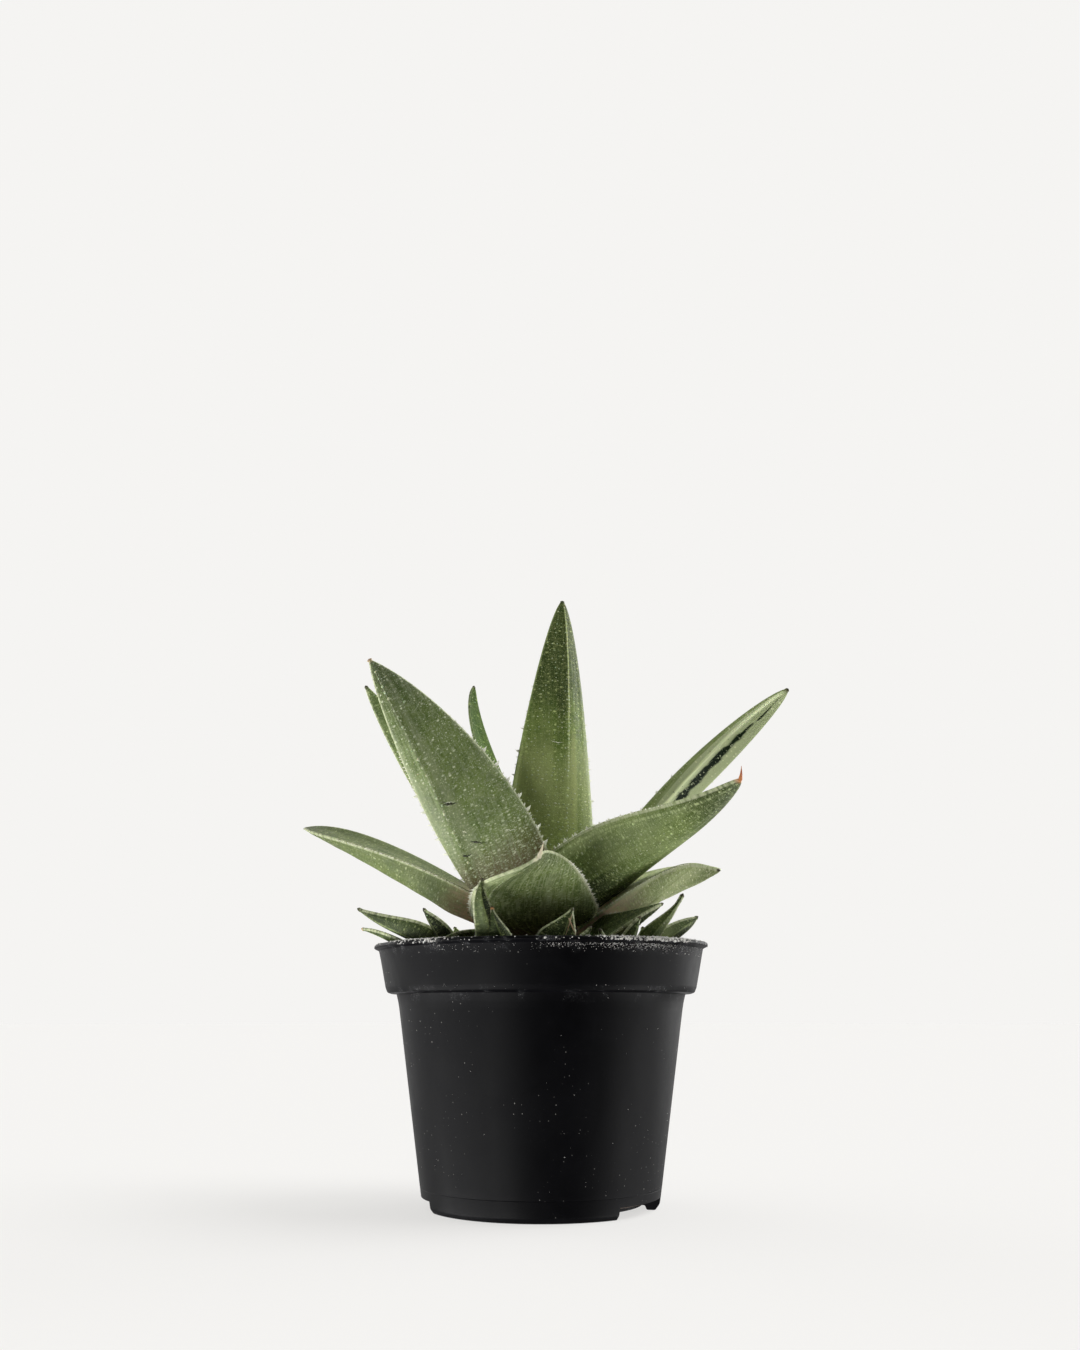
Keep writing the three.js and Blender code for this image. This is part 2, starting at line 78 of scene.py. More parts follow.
# Loose crumbs on the mix and grit on the lip: seed and counts, and the room left for the stem
CRUMB_SEED = 408
CRUMB_COUNT = 1500
LIP_GRIT_COUNT = 1300
STEM_ROOM = 9.5

# Camera of the photograph
CAMERA_PLACE = (-0.0003, -0.424, 0.060)
CAMERA_TILT = 4.3
CAMERA_LENS = 35.63
CAMERA_SHIFT = 0.177


def new_object(name, data):
    obj = bpy.data.objects.new(name, data)
    scene.collection.objects.link(obj)
    return obj


def new_mesh(name, points, faces):
    mesh = bpy.data.meshes.new(name)
    mesh.from_pydata(points, [], faces)
    return mesh


def make_camera():
    camera = new_object("camera", bpy.data.cameras.new("camera"))
    camera.location = CAMERA_PLACE
    camera.rotation_euler = (math.radians(90 + CAMERA_TILT), 0, 0)
    camera.data.sensor_width = 36
    camera.data.lens = CAMERA_LENS
    camera.data.shift_y = CAMERA_SHIFT
    camera.data.clip_start = 0.01
    scene.camera = camera


make_camera()


# Numbers
def unit(v):
    return v / np.maximum(np.linalg.norm(v, axis=-1, keepdims=True), 1e-12)


def smooth(x):
    x = np.clip(x, 0, 1)
    return x * x * (3 - 2 * x)


def turns(count):
    """Angles of evenly spaced places round a circle."""
    return np.arange(count) * 2 * np.pi / count


def tooth_random(seed):
    """The same draw as in the solids, so that the teeth stand where theirs do."""
    state = seed

    def draw():
        nonlocal state
        state = (state * 1664525 + 1013904223) & 0xFFFFFFFF
        return state / 4294967296

    return draw


def waves(x, y, seed, count=7):
    """A smooth uneven field of about -1 to 1, made of a few seeded waves."""
    rng = np.random.default_rng(seed)
    total = np.zeros(np.broadcast(x, y).shape)
    for _ in range(count):
        f = rng.uniform(0.5, 3.0)
        a = rng.uniform(0, 2 * np.pi)
        total += np.sin(2 * np.pi * f * (x * np.cos(a) + y * np.sin(a)) + rng.uniform(0, NEAR_TURN))
    return total / math.sqrt(count * 2)


# Meshes
class Skin:
    """Collects points, faces, their material numbers and named values for each point."""

    def __init__(self):
        self.points, self.faces, self.marks, self.values = [], [], [], {}
        self.count = 0

    def add(self, points, faces, mark=0, **values):
        points = np.asarray(points, float).reshape(-1, 3)
        self.faces += [[int(i) + self.count for i in face] for face in faces]
        self.marks += [mark] * len(faces)
        for name in sorted(set(values) | set(self.values)):
            rows = self.values.setdefault(name, [np.zeros(self.count)])
            rows.append(np.broadcast_to(np.asarray(values.get(name, 0.0), float), len(points)))
        self.points.append(points)
        self.count += len(points)

    def piece(self, name, materials, nodes=(), shade=True):
        mesh = new_mesh(name, (np.concatenate(self.points) * MM).tolist(), self.faces)
        mesh.polygons.foreach_set("material_index", self.marks)
        mesh.polygons.foreach_set("use_smooth", [shade] * len(self.faces))
        for key, rows in self.values.items():
            layer = mesh.attributes.new(key, "FLOAT", "POINT")
            layer.data.foreach_set("value", np.concatenate(rows).astype(np.float32))
        mesh.update()
        obj = new_object(name, mesh)
        for material in materials:
            mesh.materials.append(material)
        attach(obj, "root")
        if nodes:
            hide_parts(*nodes)
        return obj


def grid_faces(rows, columns, flip=False):
    """Four-sided faces of a tube of rows, each a closed ring of as many points as columns."""
    faces = []
    for i in range(rows - 1):
        for j in range(columns):
            a, b = i * columns + j, i * columns + (j + 1) % columns
            quad = [a, b, b + columns, a + columns]
            faces.append(quad[::-1] if flip else quad)
    return faces


def tube_faces(rows, columns, flip=False):
    """The faces of a tube and its two end caps."""
    caps = [list(range(columns))[::-1], [(rows - 1) * columns + k for k in range(columns)]]
    return grid_faces(rows, columns, flip) + [cap[::-1] if flip else cap for cap in caps]


# Shader nodes
class Nodes:
    """The node tree of a material or of the world."""

    def __init__(self, owner):
        owner.use_nodes = True
        self.tree = owner.node_tree
        self.tree.nodes.clear()

    def make(self, kind, **settings):
        node = self.tree.nodes.new(kind)
        for key, value in settings.items():
            setattr(node, key, value)
        return node

    def link(self, a, b):
        self.tree.links.new(a, b)

    def set(self, socket, value):
        if isinstance(value, bpy.types.NodeSocket):
            self.link(value, socket)
        elif isinstance(value, tuple) and len(socket.default_value) == 4:
            socket.default_value = (*value, 1.0)
        else:
            socket.default_value = value

    def fill(self, node, **sockets):
        for key, value in sockets.items():
            self.set(node.inputs[key.replace("_", " ")], value)

    def value(self, name):
        return self.make("ShaderNodeAttribute", attribute_name=name).outputs["Fac"]

    def place(self):
        return self.make("ShaderNodeTexCoord").outputs["Object"]

    def parts(self, where):
        node = self.make("ShaderNodeSeparateXYZ")
        self.link(where, node.inputs[0])
        return node.outputs

    def vector(self, x, y, z=0.0):
        node = self.make("ShaderNodeCombineXYZ")
        self.fill(node, X=x, Y=y, Z=z)
        return node.outputs[0]

    def noise(self, where, scale, detail, rough=0.5, distort=0.0):
        node = self.make("ShaderNodeTexNoise")
        self.fill(node, Vector=where, Scale=scale, Detail=detail, Roughness=rough, Distortion=distort)
        return node.outputs["Fac"]

    def spots(self, x, y, scale, small, large):
        """Round spots of uneven size and strength on a flat pattern of cells."""
        node = self.make("ShaderNodeTexVoronoi", feature="F1", voronoi_dimensions="2D")
        self.fill(node, Vector=self.vector(x, y), Scale=scale, Randomness=0.9)
        parts = self.make("ShaderNodeSeparateColor")
        self.link(node.outputs["Color"], parts.inputs[0])
        size = self.math("POWER", parts.outputs[0], 1.8)
        radius = self.plus(self.times(size, large - small), small)
        mask = self.ramp(node.outputs["Distance"], self.times(radius, 0.45), radius, 1.0, 0.0)
        return self.times(mask, self.plus(self.times(parts.outputs[1], 0.7), 0.3))

    def math(self, operation, a, b=0.0):
        node = self.make("ShaderNodeMath", operation=operation)
        self.set(node.inputs[0], a)
        self.set(node.inputs[1], b)
        return node.outputs[0]

    def times(self, a, b):
        return self.math("MULTIPLY", a, b)

    def plus(self, a, b):
        return self.math("ADD", a, b)

    def ramp(self, value, low, high, to_low=0.0, to_high=1.0):
        node = self.make("ShaderNodeMapRange", interpolation_type="SMOOTHSTEP")
        self.fill(node, Value=value, From_Min=low, From_Max=high, To_Min=to_low, To_Max=to_high)
        return node.outputs[0]

    def mix(self, amount, a, b):
        node = self.make("ShaderNodeMix", data_type="RGBA")
        self.fill(node, Factor=amount, A=a, B=b)
        return node.outputs["Result"]

    def bump(self, height, strength, distance, under=None):
        node = self.make("ShaderNodeBump")
        self.fill(node, Height=height, Strength=strength, Distance=distance)
        if under is not None:
            self.link(under, node.inputs["Normal"])
        return node.outputs["Normal"]


class Material(Nodes):
    """A procedural material with one shader, whose colour is laid down a layer at a time."""

    def __init__(self, name):
        self.material = bpy.data.materials.new(name)
        super().__init__(self.material)
        self.shader = self.make("ShaderNodeBsdfPrincipled")
        out = self.make("ShaderNodeOutputMaterial")
        self.link(self.shader.outputs[0], out.inputs["Surface"])

    def over(self, amount, colour):
        """Lays a colour over what is there so far."""
        self.colour = self.mix(amount, self.colour, colour)

    def finish(self, **sockets):
        self.fill(self.shader, Base_Color=self.colour, **sockets)
        return self.material


def srgb(r, g, b):
    """Linear colour from 8-bit values."""
    return tuple(((c / 255 + 0.055) / 1.055) ** 2.4 if c > 10.3 else c / 255 / 12.92 for c in (r, g, b))


def scaled(colour, amount):
    return tuple(min(1, c * amount) for c in colour)


DRY_TIP = (srgb(72, 68, 46), srgb(48, 42, 32))
RUST = srgb(212, 156, 108)
HORN = srgb(200, 206, 166)

# The settings of a leaf that leaf_material takes
LOOK = (
    "stripes", "stripe_colour", "blush", "edge_tint", "edge_wide", "keel_tint", "spotted", "frost", "cross",
    "streaky", "root_strength", "keel_wide", "keel_solid", "shine", "inner_line", "speckle", "tip_dark",
    "glow", "bumpy", "dry",
)


def leaf_material(name, tint, stripes=0.2, gloss=0.46, stripe_colour=None, blush=16.0, edge_tint=0.3,
                  edge_wide=0.3, keel_tint=0.3, spotted=1.0, frost=1.0, cross=0.25, streaky=0.1,
                  root_strength=0.85, keel_wide=1.0, keel_solid=0.4, shine=0.22, inner_line=0.0,
                  speckle=0.8, tip_dark=0.62, glow=0.10, bumpy=1.0, dry=DRY_TIP):
    deep, fresh, pale, root = tint
    m = Material(name)
    along, across, seed = m.value("along"), m.value("across"), m.value("seed")
    reach, from_edge, off_keel = m.value("reach"), m.value("from_edge"), m.value("off_keel")
    x = m.plus(across, m.times(seed, 7.3))
    flat = m.vector(x, along, seed)
    fibre = m.noise(m.vector(x, m.times(along, 0.10), seed), 1.5, 3, 0.6, 0.5)
    bands = m.noise(m.vector(x, m.times(along, 0.045), seed), 0.30, 2, 0.5, 0.2)
    cloud = m.noise(flat, 0.10, 3, 0.55, 0.6)
    mottle = m.noise(flat, 0.55, 4, 0.65, 0.6)
    fine = m.noise(flat, 2.6, 3, 0.65, 0.3)
    tone = m.plus(m.plus(m.times(cloud, 0.42), m.times(mottle, 0.38)), m.times(fibre, 0.20))
    m.colour = m.mix(m.ramp(tone, 0.36, 0.64), deep, fresh)
    # pale lengthwise bands of the variegation
    m.over(m.times(m.ramp(bands, 0.47, 0.66), stripes), pale)
    # painted light, sheen and shade: whole facets and bands made paler where light falls on them and darker
    # where shade lies, with some of the leaf's own paler and darker tone
    shade = m.value("shade")
    m.over(m.ramp(shade, 0.0, 1.0), scaled(pale, 1.05))
    m.over(m.ramp(shade, 0.0, -1.0), scaled(deep, 0.45))
    # darker green towards the tip
    m.over(m.ramp(reach, 0.62, 1.0, 0.0, tip_dark), scaled(deep, 0.5))
    # the root is brownish and streaked
    low = m.plus(along, m.times(m.math("SUBTRACT", fibre, 0.5), 12.0))
    m.over(m.ramp(low, blush * 0.4, blush, root_strength, 0.0), root)
    # whitish mottling drawn out across the leaf
    streaks = m.noise(m.vector(m.times(x, 0.30), m.times(along, 1.25), seed), 1.2, 4, 0.7, 0.3)
    m.over(m.ramp(streaks, 0.50, 0.68, 0.0, cross), pale)
    if streaky:
        m.over(m.ramp(fibre, 0.46, 0.62, 0.0, streaky), pale)
    # fine pale dust, then pale spots, drawn out crosswise near the root
    settled = m.ramp(low, blush * 0.3, blush * 0.8, 0.35, 1.0)
    dust = m.times(m.ramp(fine, 0.50, 0.74, 0.0, 0.24 * frost), settled)
    m.over(dust, pale)
    pits = m.ramp(fine, 0.46, 0.30, 0.0, 0.30)
    m.over(pits, scaled(deep, 0.6))
    uneven = m.times(m.ramp(cloud, 0.34, 0.60, 0.45, 1.0), settled)
    small = m.spots(x, m.times(along, 1.15), 1.75, 0.08, 0.36)
    large = m.spots(m.times(x, 0.72), m.times(along, 1.1), 0.62, 0.05, 0.30)
    dashes = m.spots(m.times(x, 0.42), m.times(along, 1.35), 0.8, 0.08, 0.34)
    dashed = m.ramp(along, 26.0, 52.0, 1.0, 0.0)
    spots = m.math("MAXIMUM", m.times(small, speckle * spotted), m.times(large, spotted))
    spots = m.math("MAXIMUM", spots, m.times(m.times(dashes, dashed), 0.85 * spotted))
    spots = m.times(spots, uneven)
    m.over(spots, scaled(pale, 1.5))
    if stripe_colour is not None:
        stripe = m.value("stripe")
        dots = m.times(m.spots(m.times(x, 0.7), m.times(along, 1.1), 0.8, 0.08, 0.34), 0.8)
        m.over(m.times(stripe, m.ramp(mottle, 0.25, 0.4, 0.75, 1.0)), stripe_colour)
        m.over(m.times(stripe, dots), pale)
    # pale keel and thin horny edge
    broken = m.noise(m.vector(m.times(along, 0.8), seed, 3.0), 1.0, 3, 0.6)
    ridge = m.ramp(m.math("ABSOLUTE", off_keel), 0.12 * keel_wide, 0.38 * keel_wide, 1.0, 0.0)
    ridge = m.times(m.value("crest"), ridge)
    ridge = m.times(ridge, m.ramp(broken, 0.38, 0.6, keel_solid * keel_tint, keel_tint))
    m.over(ridge, scaled(pale, 1.4))
    edge = m.ramp(from_edge, 0.3 * edge_wide, edge_wide, 1.0, 0.0)
    edge = m.times(edge, m.ramp(broken, 0.36, 0.58, 0.25, 1.0))
    m.over(m.times(edge, edge_tint), HORN)
    if inner_line:
        # a row of pale flecks set in from the margin
        off = m.math("ABSOLUTE", m.math("SUBTRACT", from_edge, inner_line))
        gaps = m.noise(m.vector(along, seed, 7.0), 1.6, 2, 0.6)
        row = m.times(m.ramp(off, 0.25, 0.55, 1.0, 0.0), m.ramp(gaps, 0.48, 0.60, 0.1, 0.8))
        m.over(row, scaled(pale, 1.1))
    # dry tip
    light_tip, dark_tip = dry
    light_tip = m.mix(m.value("rust"), light_tip, RUST)
    tip_colour = m.mix(m.ramp(reach, 1.01, 1.05), light_tip, dark_tip)
    m.over(m.ramp(reach, 0.985, 1.004, 0.0, 0.95), tip_colour)
    relief = m.bump(fine, 0.30 * bumpy, 0.00025)
    relief = m.bump(mottle, 0.25 * bumpy, 0.0004, relief)
    relief = m.bump(m.noise(m.place(), 1500, 3, 0.6), 0.15 * bumpy, 0.0001, relief)
    relief = m.bump(spots, 0.35 * bumpy, 0.00012, relief)
    uneven_wax = m.plus(m.times(fine, 0.5), m.times(mottle, 0.5))
    return m.finish(
        Roughness=m.ramp(uneven_wax, 0.3, 0.7, gloss - 0.06, gloss + 0.14),
        Specular_IOR_Level=shine,
        Subsurface_Weight=glow,
        Subsurface_Radius=(0.6, 1.0, 0.25),
        Subsurface_Scale=0.0015,
        Normal=relief,
    )


def speck_material(name, dull, bright, glow=0.2):
    """Raised pale flecks and teeth: dull to bright by each one's own value."""
    m = Material(name)
    shade = m.noise(m.place(), 900, 2)
    m.colour = m.mix(m.value("bright"), dull, bright)
    m.over(m.ramp(shade, 0.4, 0.7, 0.0, 0.25), scaled(dull, 0.7))
    return m.finish(
        Roughness=0.5, Subsurface_Weight=glow, Subsurface_Scale=0.001, Normal=m.bump(shade, 0.2, 0.0001),
    )


# Leaves, with the same middle lines and sections as the solids. A path holds the root, two
# guides and the tip of the middle line.
LEAF_DEFAULTS = dict(
    full=3.0, taper=0.85, neck=0.6, neck_end=0.25, keel=0.0, channel=0.6, sharp_from=0.25, sharp_to=0.75,
    twist=0.0, thin_root=0.55, crisp=0.75, spike=1.2, hook=(0, 0, 0), stout=1.0, teeth=7,
    fine_teeth=34, tooth_gain=1.0, dots=1.0, keel_dots=(0.28, 1.3), gain=1, rust=0, scars=(),
)


def stations(spec, t):
    """Places and sections of a leaf where t is 0 at the root and 1 at the tip."""
    root, guide1, guide2, tip = np.array(spec["path"], float)
    t = np.minimum(t, 1.0)
    c, s = t[:, None], 1 - t[:, None]
    centre = s**3 * root + 3 * s * s * c * guide1 + 3 * s * c * c * guide2 + c**3 * tip
    along = unit(s * s * (guide1 - root) + 2 * s * c * (guide2 - guide1) + c * c * (tip - guide2))
    up = np.array(spec["up"], float)
    upper = unit(up - (along @ up)[:, None] * along)
    aside = np.cross(along, upper)
    turn = np.radians(spec["twist"]) * t[:, None]
    face = upper * np.cos(turn) + aside * np.sin(turn)
    narrowing = (1 - t ** spec["full"]) ** spec["taper"]
    ramp = smooth(t / spec["neck_end"])
    neck = spec["neck"] + (1 - spec["neck"]) * ramp
    thin = spec["thin_root"] + (1 - spec["thin_root"]) * ramp
    return dict(
        centre=centre, along=along, face=face, side=np.cross(along, face),
        half=np.maximum(0.45, spec["width"] / 2 * narrowing * neck),
        thick=np.maximum(0.35, spec["thick"] * thin * (1 - t**2) ** 0.8),
        hollow=spec["channel"] * np.minimum(1, 4 * (1 - t)) * narrowing,
        sharp=smooth((t - spec["sharp_from"]) / (spec["sharp_to"] - spec["sharp_from"])),
    )


def keel_shift(spec, v):
    """Place across, from -1 to 1, of v, which runs from 1 to -1 with the keel at 0."""
    return spec["keel"] + v * np.where(v > 0, 1 - spec["keel"], 1 + spec["keel"])


def under_depth(spec, s, v):
    """Depth of the keeled underside below the margins."""
    from_keel = np.abs(v)
    rounded = np.sqrt(np.maximum(0, 1 - from_keel**2))
    soft_keel = 1 - np.sqrt(from_keel**2 + 0.0016) + 0.04 * from_keel
    keeled = spec["crisp"] * soft_keel + (1 - spec["crisp"]) * rounded
    sharp = s["sharp"][:, None]
    return s["thick"][:, None] * (rounded * (1 - sharp) + keeled * sharp)


def stripe_band(spec, t, length, v, seed):
    """Strength of the dark stripe, from its middle and half width at a few places along."""
    at, middle, reach = np.array(spec["stripe"], float).T
    reach = np.interp(t, at, reach)[:, None]
    ragged = 0.05 * waves(length / 7, v * 0.7, seed + 9) * (t < 0.86)[:, None]
    off = np.abs(v - np.interp(t, at, middle)[:, None])
    return smooth((reach + ragged - off) / 0.06 + 0.5) * (reach > 0.01)


def painted_light_and_tone_sum(spec, t, v):
    """Sum of the paler (above 0) and darker (below 0) areas of the underside: painted light and painted
    shade, with some of the leaf's own tone.
    """
    total = 0
    for middle, reach, start, end, amount in spec["painted_light_and_tone_bands"]:
        soft = min(0.12, reach)
        band = smooth((reach + soft / 2 - np.abs(v - middle)) / soft)
        fade_in = 0.1 if start < 0.1 else 0.3
        fade_out = 0.1 if end > 1 else 0.4
        span = smooth((t[:, None] - start) / fade_in) * smooth((end - t[:, None]) / fade_out)
        total = total + amount * band * span
    return total


def leaf_skin(skin, spec, seed, rings=121, upper_count=19, under_count=45):
    t = 1 - (1 - np.linspace(0, 1, rings)) ** 1.25
    s = stations(spec, t)
    run = np.concatenate([[0], np.cumsum(np.linalg.norm(np.diff(s["centre"], axis=0), axis=1))])
    length = run[:, None]
    half = s["half"][:, None]
    fade = np.minimum(1, half / 3)
    centre, side, face = (s[key][:, None] for key in ("centre", "side", "face"))

    def point(u, lift):
        return centre + side * (u * half)[..., None] + face * lift[..., None]

    u_up = np.sin(np.linspace(-1, 1, upper_count) * np.pi / 2)[None]
    relief_up = 0.10 * waves(length / 22, u_up * half / 9, seed + 5) * (1 - u_up**2) * fade
    lift_up = RIM - s["hollow"][:, None] * (1 - u_up**2) + relief_up
    upper = point(u_up, lift_up)

    v = np.sin(np.linspace(1, -1, under_count) * np.pi / 2)
    v = np.sign(v) * (0.55 * np.abs(v) + 0.45 * np.linspace(1, -1, under_count) * np.sign(v))
    v = v[None]
    depth = under_depth(spec, s, v)
    relief = 0.16 * waves(length / 26, v * 1.3, seed) + 0.05 * waves(length / 60, v * 5, seed + 3)
    under = point(keel_shift(spec, v), -RIM - depth - relief * (1 - v**2) * fade)

    def rim(sign, angles):
        out = 0.26 * np.cos(angles) / half
        return point(sign * (1 + out), np.broadcast_to(RIM * np.sin(angles), out.shape))

    bend = np.radians([50.0, 0.0, -50.0])
    ring = np.concatenate([upper, rim(1, bend), under, rim(-1, bend[::-1])], axis=1)
    columns = ring.shape[1]
    # the spike at the tip
    hook = np.array(spec["hook"], float)
    spikes = []
    for k, narrow in ((0.25, 0.86), (0.5, 0.66), (0.75, 0.42), (1.0, 0.12)):
        shift = s["along"][-1] * spec["spike"] * k + hook * k * k
        wide = narrow * (spec["stout"] if k < 1 else 1)
        spikes.append(s["centre"][-1] + shift + (ring[-1] - s["centre"][-1]) * wide)
    ring = np.concatenate([ring, np.array(spikes)], axis=0)
    rows = ring.shape[0]

    # distances over the underside, from the margin and from the keel
    chords = np.linalg.norm(np.diff(under, axis=1), axis=2)
    from_side = np.concatenate([np.zeros((rings, 1)), np.cumsum(chords, axis=1)], axis=1)
    middle = under_count // 2
    from_middle = from_side - from_side[:, middle:middle + 1]
    rim_zero = np.zeros((rings, 3))
    upper_zero = np.zeros((rings, upper_count))

    def column(up, rim_right, below, rim_left):
        """A value for each point of the ring rows, with the last row's repeated on the spike."""
        body = [np.broadcast_to(a, (rings, a.shape[-1])) for a in (up, rim_right, below, rim_left)]
        body = np.concatenate(body, axis=1)
        return np.concatenate([body, np.repeat(body[-1:], rows - rings, axis=0)], axis=0).ravel()

    spike_steps = np.arange(1, rows - rings + 1)
    values = dict(
        along=np.repeat(np.concatenate([run, np.full(rows - rings, run[-1])]), columns),
        across=column(u_up * half, rim_zero + half, 40 - from_middle, rim_zero - half),
        reach=np.repeat(np.concatenate([t, 1 + 0.015 * spike_steps]), columns),
        from_edge=column((1 - np.abs(u_up)) * half, rim_zero,
                         np.minimum(from_side, from_side[:, -1:] - from_side), rim_zero),
        off_keel=column(upper_zero + 9, rim_zero + 9, from_middle, rim_zero + 9),
        crest=column(upper_zero, rim_zero,
                     s["sharp"][:, None] * smooth((run[-1] - length) / 6) + 0 * depth, rim_zero),
        rust=float(spec["rust"]),
        seed=float(seed % 97),
    )
    if "stripe" in spec:
        values["stripe"] = column(upper_zero, rim_zero, stripe_band(spec, t, length, v, seed), rim_zero)
    # painted light and painted shade, with some of the leaf's own tone, laid on the underside
    if "painted_light_and_tone_bands" in spec:
        values["shade"] = column(upper_zero, rim_zero, painted_light_and_tone_sum(spec, t, v), rim_zero)
    skin.add(ring, tube_faces(rows, columns), SKIN, **values)
    return dict(spec=spec, s=s, run=run, upper=upper, under=under, v=v[0], u_up=u_up[0])


def sample(grid, i, j):
    """Point and outward-pointing frame on a grid of points at fractional row i and column j."""
    i0, j0 = int(i), int(j)
    a, b = i - i0, j - j0
    p = grid[i0:i0 + 2, j0:j0 + 2]
    point = (p[0, 0] * (1 - b) + p[0, 1] * b) * (1 - a) + (p[1, 0] * (1 - b) + p[1, 1] * b) * a
    down = unit((p[1, 0] + p[1, 1]) - (p[0, 0] + p[0, 1]))
    cross = unit((p[0, 1] + p[1, 1]) - (p[0, 0] + p[1, 0]))
    return point, down, cross, unit(np.cross(down, cross))


# A fleck's foot and its shoulder are rings of seven, with one point on top
FLECK_SIDES = [(k, (k + 1) % 7) for k in range(7)]
FLECK_FACES = [face for k, n in FLECK_SIDES for face in ([k, n, 7 + n, 7 + k], [7 + k, 7 + n, 14])]


def add_flecks(skin, leaf, rng, density, keel_dots):
    """Low pale domes in loose cross-rows, and a closer line of them along the keel."""
    spec, run, under, upper, v = (leaf[key] for key in ("spec", "run", "under", "upper", "v"))
    middle = leaf["s"]["centre"]
    every_ring = np.arange(len(run))

    def dome(grid, i, j, wide, long, tall, bright):
        if not (0 <= i < grid.shape[0] - 1 and 0 <= j < grid.shape[1] - 1):
            return
        point, down, cross, out = sample(grid, i, j)
        if np.dot(out, point - middle[int(i)]) < 0:
            out = -out
        angles = turns(7) + rng.uniform(0, 1)
        flat = [cross * wide * np.cos(a) + down * long * np.sin(a) for a in angles]
        ring = [point + reach - out * FLECK_ROOT for reach in flat]
        inner = [point + reach * 0.6 + out * tall * 0.75 for reach in flat]
        skin.add(ring + inner + [point + out * tall], FLECK_FACES, FLECK, bright=bright)

    total = run[-1]
    row_at = 9.0
    columns_fine = np.linspace(0, len(v) - 1, 60)
    across_fine = -keel_shift(spec, np.interp(columns_fine, np.arange(len(v)), v))
    while row_at < total - 1.5:
        i = float(np.interp(row_at, run, every_ring))
        half = float(np.interp(row_at, run, leaf["s"]["half"]))
        t = row_at / total
        wander = rng.uniform(-0.4, 0.4)
        for grid, chance in ((under, 0.72), (upper, 0.5)):
            place = -half + rng.uniform(0.5, 1.6)
            while place < half - 0.4:
                if rng.random() < chance * density:
                    if grid is under:
                        j = float(np.interp(-place / half, across_fine, columns_fine))
                    else:
                        j = float(np.interp(place / half, leaf["u_up"], np.arange(upper.shape[1])))
                    size = (0.10 + 0.22 * rng.random() ** 2) * (1.15 - 0.3 * t)
                    stretch = rng.uniform(1.0, 1.9) if t < 0.45 else rng.uniform(0.9, 1.3)
                    step = i + wander + rng.uniform(-0.35, 0.35)
                    bright = rng.uniform(0.1, 1.0) ** 1.5
                    dome(grid, step, j, size * stretch, size * 0.85, size * 0.42, bright)
                place += rng.uniform(1.0, 2.0)
        row_at += rng.uniform(1.25, 1.75)
    at = total * 0.22
    centre_j = float(np.argmin(np.abs(v)))
    dot, pitch = keel_dots
    while dot and at < total - 2.0:
        t = at / total
        i = float(np.interp(at, run, every_ring))
        if rng.random() < 0.35 + 0.65 * smooth((t - 0.25) / 0.3):
            size = dot * rng.uniform(0.7, 1.3) * (1.1 - 0.3 * t)
            j = centre_j + rng.uniform(-0.35, 0.35)
            dome(under, i, j, size, size * 1.2, size * 0.5, rng.uniform(0.6, 1.0))
        at += pitch * rng.uniform(0.7, 1.3)


def add_scar(skin, leaf, path, wide, mark, rng):
    """A thin crack or scratch: a low ridge along a path of (t, v) places on the underside."""
    bright = rng.uniform(0.3, 1.0)
    steps = 14
    stops = np.array(path, float)
    at = np.linspace(0, len(stops) - 1, steps)
    t, v = (np.interp(at, np.arange(len(stops)), stops[:, k]) for k in (0, 1))
    t = t + rng.normal(0, 0.0012, steps)
    i = (1 - (1 - t) ** 0.8) * (len(leaf["run"]) - 1)
    j = np.interp(-v, -leaf["v"], np.arange(len(leaf["v"])))
    spine = [sample(leaf["under"], a, b) for a, b in zip(i, j)]
    middle = np.array([p[0] for p in spine])
    out = np.array([p[3] for p in spine])
    inward = leaf["s"]["centre"][i.astype(int)] - middle
    out = out * -np.sign(np.sum(out * inward, axis=1))[:, None]
    aside = unit(np.cross(np.gradient(middle, axis=0), out))
    reach = (wide * np.sin(np.pi * (np.arange(steps) + 0.5) / steps) * rng.uniform(0.5, 1.2, steps))[:, None]
    foot = middle - out * FLECK_ROOT
    points = np.stack([foot + aside * reach, middle + out * 0.07, foot - aside * reach], 1)
    ends = [[0, 1, 2], [steps * 3 - 1, steps * 3 - 2, steps * 3 - 3]]
    skin.add(points, grid_faces(steps, 3) + ends, mark, bright=bright)


def add_thread(skin, path, radius, mark):
    """A dry fibre: a thin round strand that tapers, along a curve through a few points."""
    a, b, c = np.array(path, float)
    steps = 16
    at = np.linspace(0, 1, steps)[:, None]
    middle = (1 - at) ** 2 * a + 2 * at * (1 - at) * b + at**2 * c
    run = unit(np.gradient(middle, axis=0))
    one = unit(np.cross(run, np.array([0.3, 1.0, 0.2])))
    two = np.cross(run, one)
    angles = (np.arange(6) * np.pi / 3)[None, :, None]
    r = radius * (1 - 0.6 * at[..., None])
    points = middle[:, None] + r * (one[:, None] * np.cos(angles) + two[:, None] * np.sin(angles))
    skin.add(points, tube_faces(steps, 6), mark, bright=0.5)


def add_tooth(skin, spec, t, edge, tall, wide, bright):
    """A small flattened point that leans towards the tip, its foot sunk in the edge."""
    s = stations(spec, np.array([t]))
    along, face = s["along"][0], s["face"][0]
    out = s["side"][0] * edge
    foot = s["centre"][0] + out * (s["half"][0] - TOOTH_ROOT)
    points = []
    for step, narrow in ((0.0, 1.0), (0.45, 0.62), (0.8, 0.3)):
        middle = foot + out * (tall + TOOTH_ROOT) * step + along * wide * 0.45 * step**2
        points += [
            middle + along * wide * 0.5 * narrow * np.cos(a) + face * 0.26 * narrow * np.sin(a)
            for a in np.arange(6) * np.pi / 3
        ]
    points.append(foot + out * (tall + TOOTH_ROOT) + along * wide * 0.5)
    faces = grid_faces(3, 6) + [[12 + k, 12 + (k + 1) % 6, 18] for k in range(6)] + [[5, 4, 3, 2, 1, 0]]
    skin.add(points, faces, TOOTH, bright=bright)


